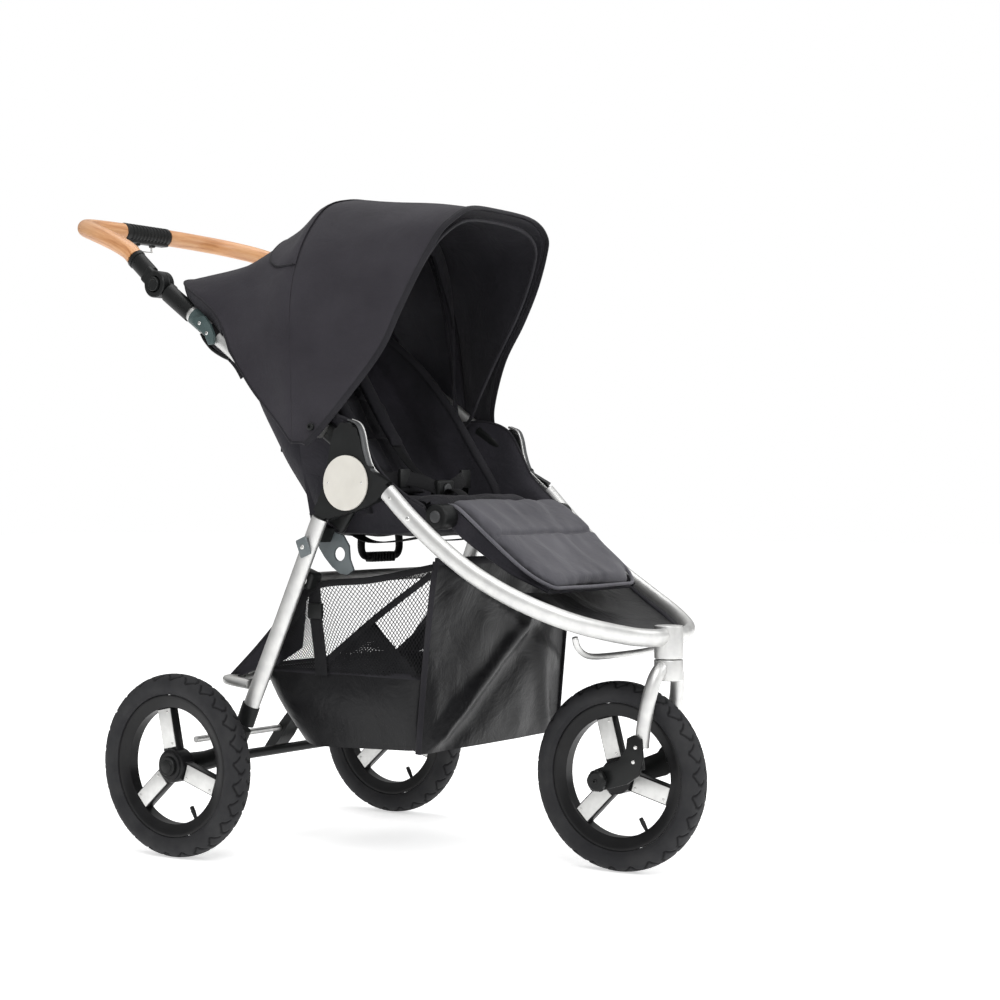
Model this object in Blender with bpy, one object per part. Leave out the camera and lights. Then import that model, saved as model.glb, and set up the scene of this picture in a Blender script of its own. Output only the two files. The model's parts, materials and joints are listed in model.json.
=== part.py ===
"""Three-wheeled jogging stroller.

The frame: +X is the child's left, -Y is the way it rolls, +Z is up, and the floor is z = 0.
The origin is the middle of the bounding box's base. Lengths are in metres.
Left pieces are at +X, and every right piece mirrors a left one.
"""
import math

import bmesh
import bpy
from mathutils import Matrix, Vector

# ---- driving dimensions ----
TYRE_RADIUS = 0.1525
TYRE_HALF_WIDTH = 0.024
BEAD_RADIUS = 0.1178
RIM_INNER_RADIUS = 0.097
HUB_FLANGE_RADIUS = 0.028
SPOKES = 3
SPOKE_WIDTH = 0.033
SPOKE_HALF_DEPTH = 0.009
GAP = 0.0003

REAR_WHEEL_X = 0.300
REAR_AXLE = Vector((0, 0.230, TYRE_RADIUS))
FRONT_AXLE = Vector((0, -0.451, TYRE_RADIUS))
STEER_Y = -0.539

EAR_CENTRE = Vector((0, -0.082, 0.622))
FOLD_PIVOT = Vector((0, -0.075, 0.673))
EAR_INNER_X = 0.226
EAR_OUTER_X = 0.240
DISC_RADIUS = 0.0445
TUBE_X = 0.232
TUBE_RISE = math.radians(35.5)
LEG_HINGE = Vector((0, 0.125, 0.222))
SEAT_HINGE = Vector((0, 0.030, 0.565))
LEG_REST_HINGE = Vector((0, -0.222, 0.568))
CANOPY_HUB = Vector((0, 0.016, 0.719))
KNUCKLE = Vector((0, 0.3323, 0.9640))
LEVER_HINGE = Vector((0, 0.222, 0.889))
CATCH_HINGE = Vector((0, -0.002, 0.518))
FOLD_HANDLE_HINGE = Vector((0, 0.032, 0.536))
BRAKE_AXIS = Vector((0, 0.245, 0.188))
HANDLE_BAR = Vector((0, 0.588, 1.091))
GRIP_RADIUS = 0.0155
CONSOLE_HALF = 0.058

# section half sizes: across (x) and along the tube's own upright
FRONT_TUBE = (0.010, 0.015)
UPPER_TUBE = (0.011, 0.014)
LEG_TUBE = (0.010, 0.015)

COLOURS = {
    "aluminium": ((0.62, 0.62, 0.60), 0.38, 0.9),
    "black_plastic": ((0.015, 0.015, 0.016), 0.45, 0.0),
    "slate_plastic": ((0.065, 0.09, 0.085), 0.4, 0.0),
    "disc_grey": ((0.60, 0.58, 0.54), 0.5, 0.0),
    "rubber": ((0.022, 0.022, 0.022), 0.8, 0.0),
    "rim_black": ((0.012, 0.012, 0.012), 0.4, 0.0),
    "spoke_silver": ((0.66, 0.66, 0.65), 0.35, 0.8),
    "canopy_fabric": ((0.037, 0.035, 0.042), 0.9, 0.0),
    "seat_fabric": ((0.045, 0.043, 0.052), 0.9, 0.0),
    "leg_rest_fabric": ((0.11, 0.11, 0.12), 0.9, 0.0),
    "basket_fabric": ((0.010, 0.010, 0.011), 0.5, 0.0),
    "wood": ((0.60, 0.31, 0.12), 0.45, 0.0),
}


# ---- scene helpers ----
def clear_scene():
    for old in list(bpy.data.objects):
        bpy.data.objects.remove(old, do_unlink=True)


def make_material(name):
    colour, roughness, metallic = COLOURS[name]
    material = bpy.data.materials.new(name)
    material.use_nodes = True
    shader = material.node_tree.nodes["Principled BSDF"]
    shader.inputs["Base Color"].default_value = (*colour, 1)
    shader.inputs["Roughness"].default_value = roughness
    shader.inputs["Metallic"].default_value = metallic
    return material


def pivot_empty(name, place, parent=None):
    """An empty on a joint's axis, which the moving pieces are parented to."""
    empty = bpy.data.objects.new(name, None)
    empty.location = place
    bpy.context.collection.objects.link(empty)
    if parent:
        empty.parent = parent
        empty.location = Vector(place) - parent.matrix_world.translation
    bpy.context.view_layer.update()
    return empty


def add(name, shape, colour, body=None, smooth=40):
    """Turns a bmesh in world coordinates into a named object, with its origin on its body's pivot."""
    origin = body.matrix_world.translation.copy() if body else Vector((0, 0, 0))
    bmesh.ops.translate(shape, verts=shape.verts, vec=-origin)
    bmesh.ops.recalc_face_normals(shape, faces=shape.faces)
    mesh = bpy.data.meshes.new(name)
    shape.to_mesh(mesh)
    shape.free()
    mesh.shade_smooth()
    mesh.set_sharp_from_angle(angle=math.radians(smooth))
    mesh.materials.append(MATERIALS[colour])
    piece = bpy.data.objects.new(name, mesh)
    bpy.context.collection.objects.link(piece)
    if body:
        piece.parent = body
    return piece


def add_tool(name, shape, body=None):
    """A hidden shape that a Boolean reads."""
    tool = add(name, shape, "black_plastic", body)
    tool.hide_render = True
    tool.display_type = "WIRE"
    return tool


def combine(piece, tool, operation):
    boolean = piece.modifiers.new(operation.lower(), "BOOLEAN")
    boolean.operation = operation
    boolean.object = tool


# ---- shape helpers ----
def mirrored(points, side):
    return [Vector((side * p[0], p[1], p[2])) for p in points]


def smooth_path(points, steps):
    """A Catmull-Rom curve through the points."""
    pts = [Vector(p) for p in points]
    pts = [2 * pts[0] - pts[1]] + pts + [2 * pts[-1] - pts[-2]]
    path = []
    for a, b, c, d in zip(pts, pts[1:], pts[2:], pts[3:]):
        for i in range(steps):
            t = i / steps
            path.append(0.5 * (2 * b + (c - a) * t + (2 * a - 5 * b + 4 * c - d) * t ** 2
                               + (3 * b - a - 3 * c + d) * t ** 3))
    return path + [pts[-2]]


def sweep(points, half_across, half_up, sides=10, across=(1, 0, 0)):
    """A closed tube of oval section along a path, carried along without twist."""
    shape = bmesh.new()
    points = [Vector(p) for p in points]
    side = Vector(across)
    rings = []
    for i, point in enumerate(points):
        before = points[max(i - 1, 0)]
        after = points[min(i + 1, len(points) - 1)]
        along = (after - before).normalized()
        side = (side - side.dot(along) * along).normalized()
        up = along.cross(side)
        ring = []
        for k in range(sides):
            angle = 2 * math.pi * k / sides
            offset = side * half_across * math.cos(angle) + up * half_up * math.sin(angle)
            ring.append(shape.verts.new(point + offset))
        rings.append(ring)
    for ring, following in zip(rings, rings[1:]):
        for k in range(sides):
            n = (k + 1) % sides
            shape.faces.new((ring[k], ring[n], following[n], following[k]))
    shape.faces.new(rings[0])
    shape.faces.new(list(reversed(rings[-1])))
    return shape


def turned(profile, centre, segments=24, closed=False):
    """A solid turned about an X axis through centre. Profile points are (x, radius) from centre.

    A closed profile makes a ring, and an open one starts and ends on the axis.
    """
    shape = bmesh.new()
    centre = Vector(centre)
    columns = []
    for x, radius in profile:
        if radius < 1e-6:
            columns.append([shape.verts.new(centre + Vector((x, 0, 0)))] * segments)
            continue
        column = []
        for k in range(segments):
            angle = 2 * math.pi * k / segments
            around = Vector((x, radius * math.cos(angle), radius * math.sin(angle)))
            column.append(shape.verts.new(centre + around))
        columns.append(column)
    pairs = list(zip(columns, columns[1:]))
    if closed:
        pairs.append((columns[-1], columns[0]))
    for first, second in pairs:
        for k in range(segments):
            n = (k + 1) % segments
            corners = [first[k], first[n], second[n], second[k]]
            shape.faces.new(list(dict.fromkeys(corners)))
    return shape


def drum(centre, x_low, x_high, radius, segments=20, chamfer=0.0):
    """A short cylinder along X, between two x values measured from centre."""
    profile = [(x_low, 0), (x_low, radius - chamfer)]
    if chamfer:
        profile += [(x_low + chamfer, radius), (x_high - chamfer, radius)]
    profile += [(x_high, radius - chamfer), (x_high, 0)]
    if not chamfer:
        profile = [(x_low, 0), (x_low, radius), (x_high, radius), (x_high, 0)]
    return turned(profile, centre, segments)


def plate(outline, x_low, x_high):
    """A flat plate square to X with a (y, z) outline."""
    shape = bmesh.new()
    low = [shape.verts.new((x_low, y, z)) for y, z in outline]
    high = [shape.verts.new((x_high, y, z)) for y, z in outline]
    shape.faces.new(low)
    shape.faces.new(list(reversed(high)))
    for k in range(len(outline)):
        n = (k + 1) % len(outline)
        shape.faces.new((low[n], low[k], high[k], high[n]))
    return shape


def block(centre, size, bevel=0.0, segments=1):
    shape = bmesh.new()
    bmesh.ops.create_cube(shape, size=1)
    bmesh.ops.scale(shape, verts=shape.verts, vec=size)
    if bevel:
        bmesh.ops.bevel(shape, geom=shape.edges, offset=bevel, segments=segments, affect="EDGES")
    bmesh.ops.translate(shape, verts=shape.verts, vec=centre)
    return shape


def turn_about_x(shape, centre, angle):
    bmesh.ops.rotate(shape, verts=shape.verts, cent=centre, matrix=Matrix.Rotation(angle, 3, "X"))
    return shape


def outline_round(centre, radius, start, end, steps):
    """Points of an arc in (y, z), with angles in degrees from +Y towards +Z."""
    points = []
    for i in range(steps + 1):
        angle = math.radians(start + (end - start) * i / steps)
        points.append((centre[0] + radius * math.cos(angle), centre[1] + radius * math.sin(angle)))
    return points


def sheet(profiles, thickness):
    """A curved wall between half profiles from hem to crown, mirrored left to right."""
    shape = bmesh.new()
    rows = []
    for profile in profiles:
        right = [(-x, y, z) for x, y, z in profile]
        left = list(reversed(profile))[1:]
        rows.append([shape.verts.new(p) for p in right + left])
    for row, following in zip(rows, rows[1:]):
        for k in range(len(row) - 1):
            shape.faces.new((row[k], row[k + 1], following[k + 1], following[k]))
    bmesh.ops.recalc_face_normals(shape, faces=shape.faces)
    highest = max(shape.faces, key=lambda face: face.calc_center_median().z)
    if highest.normal.z < 0:
        bmesh.ops.reverse_faces(shape, faces=shape.faces)
    bmesh.ops.solidify(shape, geom=shape.faces[:], thickness=thickness)
    return shape


def unit(y, z):
    return Vector((0, y, z)).normalized()


SIDES = (("left", 1), ("right", -1))
TUBE_DIRECTION = Vector((0, math.cos(TUBE_RISE), math.sin(TUBE_RISE)))


def span(side, inner, outer):
    """The low and high x of a piece that lies between two distances from the middle."""
    return (inner, outer) if side > 0 else (-outer, -inner)


# ---- wheels ----
def tyre_profile():
    """A round tread over a flat bead seat."""
    middle = 0.1335
    rise = TYRE_RADIUS - middle
    points = []
    for i in range(11):
        angle = math.radians(-38 + i * 25.6)
        points.append((TYRE_HALF_WIDTH * math.cos(angle), middle + rise * math.sin(angle)))
    bead = BEAD_RADIUS + 2 * GAP
    return [(0.013, bead)] + points + [(-0.013, bead)]


def rim_ring_profile():
    half, flare = 0.0135, 0.111
    inner_half = 0.0105
    return [(half, BEAD_RADIUS), (half, flare), (inner_half, RIM_INNER_RADIUS),
            (-inner_half, RIM_INNER_RADIUS), (-half, flare), (-half, BEAD_RADIUS)]


def spoke_block(centre, angle, depth_half, offset_x, inner, outer, width):
    shape = block((centre[0] + offset_x, centre[1] + (inner + outer) / 2, centre[2]),
                  (2 * depth_half, outer - inner, width))
    return turn_about_x(shape, centre, angle)


def add_wheel(prefix, centre, outward, hub_profile, body, first_angle):
    """A tyre, a black rim with its three spokes and hub, and the bright face on the spokes."""
    add(prefix + "_tyre", turned(tyre_profile(), centre, 36, closed=True), "rubber", body)
    rim = add(prefix + "_rim", turned(rim_ring_profile(), centre, 36, closed=True), "rim_black", body)
    hub = [(outward * x, radius) for x, radius in hub_profile]
    combine(rim, add_tool(prefix + "_hub_tool", turned(hub, centre, 20), body), "UNION")
    face_inner = HUB_FLANGE_RADIUS + 0.001
    face_half = 0.0008
    face_x = outward * (SPOKE_HALF_DEPTH + GAP + face_half)
    ring = [(face_x + face_half, face_inner), (face_x + face_half, face_inner + 0.005),
            (face_x - face_half, face_inner + 0.005), (face_x - face_half, face_inner)]
    face = add(prefix + "_spoke_face", turned(ring, centre, 24, closed=True), "spoke_silver", body)
    for i in range(SPOKES):
        angle = math.radians(first_angle + 360 * i / SPOKES)
        spoke = spoke_block(centre, angle, SPOKE_HALF_DEPTH, 0, 0.018, 0.100, SPOKE_WIDTH)
        combine(rim, add_tool(f"{prefix}_spoke_tool_{i}", spoke, body), "UNION")
        bright = spoke_block(centre, angle, face_half, face_x, face_inner + 0.002, 0.0955, 0.027)
        combine(face, add_tool(f"{prefix}_face_tool_{i}", bright, body), "UNION")


def make_rear_wheels(axle_body):
    cap_radius = 0.016
    recess_floor = 0.0115
    hub = [(-0.0272, 0), (-0.0272, 0.014), (-0.015, 0.014), (-0.015, HUB_FLANGE_RADIUS),
           (0.014, HUB_FLANGE_RADIUS), (0.019, 0.022), (0.019, cap_radius + GAP),
           (recess_floor, cap_radius + GAP), (recess_floor, 0)]
    for word, side in SIDES:
        centre = Vector((side * REAR_WHEEL_X, REAR_AXLE.y, REAR_AXLE.z))
        body = pivot_empty(f"rear_wheel_{word}_pivot", centre, axle_body)
        add_wheel(f"rear_{word}", centre, side, hub, body, 78)
        button = [(side * (recess_floor + 0.0035), 0), (side * (recess_floor + 0.0035), cap_radius),
                  (side * 0.024, cap_radius), (side * 0.027, cap_radius - 0.003), (side * 0.027, 0)]
        release = pivot_empty(f"wheel_release_{word}_pivot", centre, body)
        add(f"wheel_release_{word}", turned(button, centre, 16), "black_plastic", release)


def make_front_wheel(fork_body):
    hub = [(-0.056, 0), (-0.056, 0.008), (-0.040, 0.011), (-0.016, 0.015), (-0.016, HUB_FLANGE_RADIUS),
           (0.016, HUB_FLANGE_RADIUS), (0.016, 0.015), (0.040, 0.011), (0.056, 0.008), (0.056, 0)]
    body = pivot_empty("front_wheel_pivot", FRONT_AXLE, fork_body)
    add_wheel("front", FRONT_AXLE, -1, hub, body, 75)


# ---- fork ----
def upright_cylinder(centre_y, z_low, z_high, radius, segments=24, top_chamfer=0.0):
    shape = bmesh.new()
    rings = [(z_low, radius), (z_high - top_chamfer, radius)]
    if top_chamfer:
        rings.append((z_high, radius - top_chamfer))
    made = []
    for z, r in rings:
        ring = []
        for k in range(segments):
            angle = 2 * math.pi * k / segments
            ring.append(shape.verts.new((r * math.cos(angle), centre_y + r * math.sin(angle), z)))
        made.append(ring)
    for ring, following in zip(made, made[1:]):
        for k in range(segments):
            n = (k + 1) % segments
            shape.faces.new((ring[k], ring[n], following[n], following[k]))
    shape.faces.new(made[0])
    shape.faces.new(list(reversed(made[-1])))
    return shape


def make_fork():
    body = pivot_empty("fork_pivot", (0, STEER_Y, 0))
    crown_base = 0.3435
    blade = [(0.000, STEER_Y + 0.002, 0.330), (0.026, STEER_Y + 0.003, 0.328),
             (0.041, STEER_Y + 0.006, 0.306), (0.0455, STEER_Y + 0.014, 0.270),
             (0.0465, STEER_Y + 0.020, 0.236), (0.0470, STEER_Y + 0.0215, 0.207)]
    fork = add("fork", upright_cylinder(STEER_Y, 0.316, crown_base, 0.0235), "aluminium", body)
    for word, side in SIDES:
        path = smooth_path(mirrored(blade, side), 2)
        tool = add_tool(f"fork_blade_tool_{word}", sweep(path, 0.0115, 0.0115, 12, (0, 1, 0)), body)
        combine(fork, tool, "UNION")
    for word, side in SIDES:
        low, high = span(side, 0.0590, 0.0650)
        lower_end = outline_round((FRONT_AXLE.y, FRONT_AXLE.z), 0.019, -75, 60, 6)
        outline = lower_end + [(-0.484, 0.186), (-0.4985, 0.205), (-0.5005, 0.222), (-0.5120, 0.228),
                               (-0.5265, 0.222), (-0.5285, 0.190), (-0.5220, 0.165), (-0.5000, 0.150)]
        add(f"dropout_{word}", plate(outline, low, high), "black_plastic", body)
    knob = [(-0.0655, 0), (-0.0655, 0.013), (-0.069, 0.0165), (-0.077, 0.0165), (-0.080, 0.013),
            (-0.080, 0)]
    knob_body = pivot_empty("axle_knob_pivot", FRONT_AXLE, body)
    add("axle_knob", turned(knob, FRONT_AXLE, 16), "black_plastic", knob_body)
    return body


# ---- fixed front frame ----
def ear_outline():
    """The hub housing: a narrow top, a round middle, and a lobe towards each frame tube."""
    front_end, front_way = Vector((0, -0.160, 0.608)), unit(-0.72, -0.69)
    leg_end, leg_way = Vector((0, -0.024, 0.566)), unit(0.397, -0.918)
    across_front = Vector((0, -front_way.z, front_way.y)) * 0.017
    across_leg = Vector((0, -leg_way.z, leg_way.y)) * 0.017
    corners = [front_end + across_front, front_end - across_front,
               leg_end + across_leg, leg_end - across_leg]
    front_low, front_high = sorted(corners[:2], key=lambda p: p.z)
    leg_front, leg_rear = sorted(corners[2:], key=lambda p: p.y)
    under = [(-0.118, 0.582), (-0.082, 0.572), (-0.052, 0.566)]
    back = [(-0.026, 0.597), (-0.036, 0.630), (-0.046, 0.668), (-0.052, 0.700)]
    top = [(-0.060, 0.716), (-0.079, 0.722), (-0.098, 0.716)]
    front = [(-0.107, 0.700), (-0.113, 0.672), (-0.124, 0.645)]
    lobes = [(front_high.y, front_high.z), (front_low.y, front_low.z)]
    foot = [(leg_front.y, leg_front.z), (leg_rear.y, leg_rear.z)]
    return lobes + under + foot + back + top + front


def make_front_frame():
    start = Vector((0, -0.160, 0.608)) + unit(-0.72, -0.69) * 0.0005
    side_tube = [(0.2345, start.y, start.z), (0.232, -0.205, 0.565), (0.225, -0.260, 0.518),
                 (0.212, -0.320, 0.474), (0.192, -0.390, 0.436), (0.155, -0.462, 0.405),
                 (0.100, -0.518, 0.386), (0.055, -0.538, 0.380), (0.010, -0.541, 0.379)]
    add("head_tube", upright_cylinder(STEER_Y, 0.3445, 0.397, 0.0230, 28, 0.003), "aluminium")
    for word, side in SIDES:
        path = smooth_path(mirrored(side_tube, side), 2)
        tube = add(f"frame_tube_{word}", sweep(path, *FRONT_TUBE, 12), "aluminium")
        cutter = upright_cylinder(STEER_Y, 0.330, 0.420, 0.0230 + GAP, 28)
        combine(tube, add_tool(f"head_cut_{word}", cutter), "DIFFERENCE")
        low, high = span(side, EAR_INNER_X, EAR_OUTER_X)
        add(f"ear_{word}", plate(ear_outline(), low, high), "black_plastic")
        face = span(side, EAR_OUTER_X + GAP, EAR_OUTER_X + 0.0045)
        add(f"ear_disc_{word}", drum(EAR_CENTRE, *face, DISC_RADIUS, 36), "disc_grey")
    bar = [(0.1500, -0.458, 0.3835), (0.1440, -0.458, 0.367), (0.120, -0.458, 0.352),
           (0.080, -0.458, 0.348), (0.0, -0.458, 0.348)]
    whole = mirrored(bar, -1) + list(reversed(mirrored(bar, 1)))[1:]
    add("foot_bar", sweep(whole, 0.0055, 0.0055, 8, (0, 1, 0)), "aluminium")


def make_footwell():
    """The sagging foot panel that hangs between the front tubes."""
    shape = bmesh.new()
    rows = []
    stations = [(-0.345, 0.176, 0.398), (-0.400, 0.160, 0.385), (-0.450, 0.128, 0.374),
                (-0.500, 0.080, 0.372)]
    for y, half, z in stations:
        spread = [-1, -0.5, 0, 0.5, 1]
        rows.append([shape.verts.new((half * s, y, z - 0.010 * (1 - s * s))) for s in spread])
    for row, following in zip(rows, rows[1:]):
        for k in range(len(row) - 1):
            shape.faces.new((row[k], row[k + 1], following[k + 1], following[k]))
    bmesh.ops.recalc_face_normals(shape, faces=shape.faces)
    bmesh.ops.solidify(shape, geom=shape.faces[:], thickness=0.004)
    add("footwell", shape, "seat_fabric")


def make_seat_base():
    seat = block((0, -0.0945, 0.570), (0.328, 0.201, 0.042), 0.016, 2)
    add("seat_base", seat, "seat_fabric")
    buckle = add("harness_buckle", block((0, -0.100, 0.6105), (0.048, 0.020, 0.036), 0.004),
                 "black_plastic")
    face_y = -0.110
    pocket = drum((0, 0, 0), -0.0045, 0.010, 0.0104, 16)
    centre = Vector((0, face_y, 0.612))
    combine(buckle, add_tool("buckle_pocket", facing_front(pocket, centre)), "DIFFERENCE")
    body = pivot_empty("buckle_button_pivot", centre)
    button = drum((0, 0, 0), -0.0010, 0.0030, 0.0100, 16, 0.0008)
    add("buckle_button", facing_front(button, centre), "slate_plastic", body)


def facing_front(shape, centre):
    """Turns a shape made along +X so that it faces -Y at centre."""
    turn = Matrix.Rotation(math.radians(-90), 3, "Z")
    bmesh.ops.rotate(shape, verts=shape.verts, cent=(0, 0, 0), matrix=turn)
    bmesh.ops.translate(shape, verts=shape.verts, vec=centre)
    return shape


def make_leg_rest():
    """A cross hinge with a knuckle and a push button at each end, and the hinged pad."""
    inner, step, outer = 0.155, 0.176, 0.190
    button_radius = 0.0100
    rod = drum(LEG_REST_HINGE, -inner - 0.002, inner + 0.002, 0.007, 12)
    hinge = add("leg_rest_hinge", rod, "black_plastic")
    for word, side in SIDES:
        knuckle = [(side * inner, 0), (side * inner, 0.019), (side * (inner + 0.002), 0.021),
                   (side * (outer - 0.002), 0.021), (side * outer, 0.019),
                   (side * outer, button_radius + GAP), (side * step, button_radius + GAP),
                   (side * step, 0)]
        tool = add_tool(f"leg_rest_knuckle_{word}", turned(knuckle, LEG_REST_HINGE, 20))
        combine(hinge, tool, "UNION")
        body = pivot_empty(f"leg_rest_button_{word}_pivot", LEG_REST_HINGE)
        button = [(side * (step + 0.0035), 0), (side * (step + 0.0035), button_radius),
                  (side * (outer + 0.002), button_radius), (side * (outer + 0.0035), 0.008),
                  (side * (outer + 0.0035), 0)]
        add(f"leg_rest_button_{word}", turned(button, LEG_REST_HINGE, 16), "slate_plastic", body)
    body = pivot_empty("leg_rest_pivot", LEG_REST_HINGE)
    outline = [(-0.215, 0.5905), (-0.240, 0.583), (-0.297, 0.540), (-0.340, 0.507), (-0.388, 0.468),
               (-0.392, 0.454), (-0.380, 0.444), (-0.330, 0.480), (-0.285, 0.514), (-0.240, 0.552),
               (-0.232, 0.5745), (-0.215, 0.5785)]
    add("leg_rest_pad", plate(outline, -0.150, 0.150), "leg_rest_fabric", body)


def make_fold_handle():
    """The grab loop under the seat that pulls the frame folded."""
    half = 0.052
    loop = [(half, 0.032, 0.536), (half + 0.004, 0.032, 0.510), (half - 0.004, 0.032, 0.498),
            (0.030, 0.032, 0.496), (0, 0.032, 0.496)]
    whole = mirrored(loop, -1) + list(reversed(mirrored(loop, 1)))[1:]
    body = pivot_empty("fold_handle_pivot", FOLD_HANDLE_HINGE)
    add("fold_handle", sweep(whole, 0.0075, 0.0075, 8, (0, 1, 0)), "black_plastic", body)


def make_basket():
    """An open tub: a high front panel, a slanted back, and a floor."""
    wall = 0.004
    half = 0.205
    outline = [(-0.200, 0.190), (-0.236, 0.492), (-0.232, 0.492), (-0.005, 0.446), (0.160, 0.302),
               (0.164, 0.298), (0.080, 0.190)]
    inside = [(-0.196, 0.190 + wall), (-0.2317, 0.560), (0.300, 0.560), (0.300, 0.440),
              (0.1585, 0.300), (0.0775, 0.190 + wall)]
    basket = add("basket", plate(outline, -half, half), "basket_fabric")
    tool = add_tool("basket_inside", plate(inside, -half + wall, half - wall))
    combine(basket, tool, "DIFFERENCE")


# ---- folding upper frame ----
def make_upper_frame():
    body = pivot_empty("upper_frame_pivot", FOLD_PIVOT)
    sleeve_start = KNUCKLE - TUBE_DIRECTION * 0.091
    tube_start = FOLD_PIVOT + TUBE_DIRECTION * 0.057
    for word, side in SIDES:
        offset = Vector((side * TUBE_X, 0, 0))
        tube = add(f"upper_tube_{word}",
                   sweep([tube_start + offset, sleeve_start - TUBE_DIRECTION * GAP + offset],
                         *UPPER_TUBE, 12), "aluminium", body)
        low, high = span(side, 0.2115, EAR_INNER_X - GAP)
        lug = outline_round((FOLD_PIVOT.y, FOLD_PIVOT.z), 0.024, 140, 290, 8)
        lug += outline_round((FOLD_PIVOT.y, FOLD_PIVOT.z), 0.075, 28, 43, 3)
        combine(tube, add_tool(f"upper_lug_{word}", plate(lug, low, high), body), "UNION")
        lower = add(f"lower_knuckle_{word}",
                    sweep([sleeve_start + offset, KNUCKLE - TUBE_DIRECTION * 0.0255 + offset],
                          0.013, 0.0165, 12), "black_plastic", body)
        low, high = span(side, 0.2175, 0.2312)
        arm = outline_round((KNUCKLE.y, KNUCKLE.z), 0.023, -90, 145, 12)
        arm += outline_round((KNUCKLE.y, KNUCKLE.z), 0.034, 197, 233, 3)
        combine(lower, add_tool(f"lower_half_{word}", plate(arm, low, high), body), "UNION")
        lever_body = pivot_empty(f"fold_lever_{word}_pivot", LEVER_HINGE + offset, body)
        low, high = span(side, 0.2435, 0.2520)
        lever = [(0.236, 0.903), (0.214, 0.902), (0.200, 0.888), (0.192, 0.872), (0.196, 0.855),
                 (0.204, 0.853), (0.212, 0.872), (0.230, 0.884), (0.238, 0.894)]
        add(f"fold_lever_{word}", plate(lever, low, high), "slate_plastic", lever_body)
    return body


def make_handle(upper_body):
    body = pivot_empty("handle_pivot", KNUCKLE, upper_body)
    sleeve_end = Vector((0, 0.388, 1.013))
    way = (sleeve_end - KNUCKLE).normalized()
    button_radius = 0.0125
    for word, side in SIDES:
        offset = Vector((side * TUBE_X, 0, 0))
        sleeve = add(f"upper_knuckle_{word}",
                     sweep([KNUCKLE + way * 0.0255 + offset, sleeve_end + offset], 0.013, 0.0165, 12),
                     "black_plastic", body)
        low, high = span(side, 0.2320, 0.2460)
        arm = outline_round((KNUCKLE.y, KNUCKLE.z), 0.023, 90, 325, 12)
        arm += outline_round((KNUCKLE.y, KNUCKLE.z), 0.034, 25, 58, 3)
        combine(sleeve, add_tool(f"upper_half_{word}", plate(arm, low, high), body), "UNION")
        hole = drum(KNUCKLE, *span(side, 0.2300, 0.2480), button_radius + GAP, 20)
        combine(sleeve, add_tool(f"button_hole_{word}", hole, body), "DIFFERENCE")
        button = [(side * 0.2355, 0), (side * 0.2355, button_radius), (side * 0.2485, button_radius),
                  (side * 0.2500, button_radius - 0.0015), (side * 0.2500, 0)]
        button_body = pivot_empty(f"handle_button_{word}_pivot", KNUCKLE + offset, body)
        add(f"handle_button_{word}", turned(button, KNUCKLE, 20), "black_plastic", button_body)
        start, second = sleeve_end + way * 0.0015, sleeve_end + way * 0.020
        grip = [(TUBE_X, *start.yz), (TUBE_X, *second.yz), (0.2305, 0.436, 1.043), (0.2180, 0.496, 1.065),
                (0.1900, 0.549, 1.080), (0.1450, 0.580, 1.088), (0.1000, 0.588, 1.0905),
                (CONSOLE_HALF + 0.001, HANDLE_BAR.y, HANDLE_BAR.z)]
        path = smooth_path(mirrored(grip, side), 2)
        add(f"grip_{word}", sweep(path, GRIP_RADIUS, GRIP_RADIUS, 12), "wood", body)
    console = drum(HANDLE_BAR, -CONSOLE_HALF, CONSOLE_HALF, GRIP_RADIUS, 16, 0.0)
    add("handle_console", console, "black_plastic", body)


# ---- canopy ----
def bow(points, radius, sides=8):
    whole = mirrored(points, -1) + list(reversed(mirrored(points, 1)))[1:]
    return sweep(smooth_path(whole, 2), radius, radius, sides)


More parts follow.
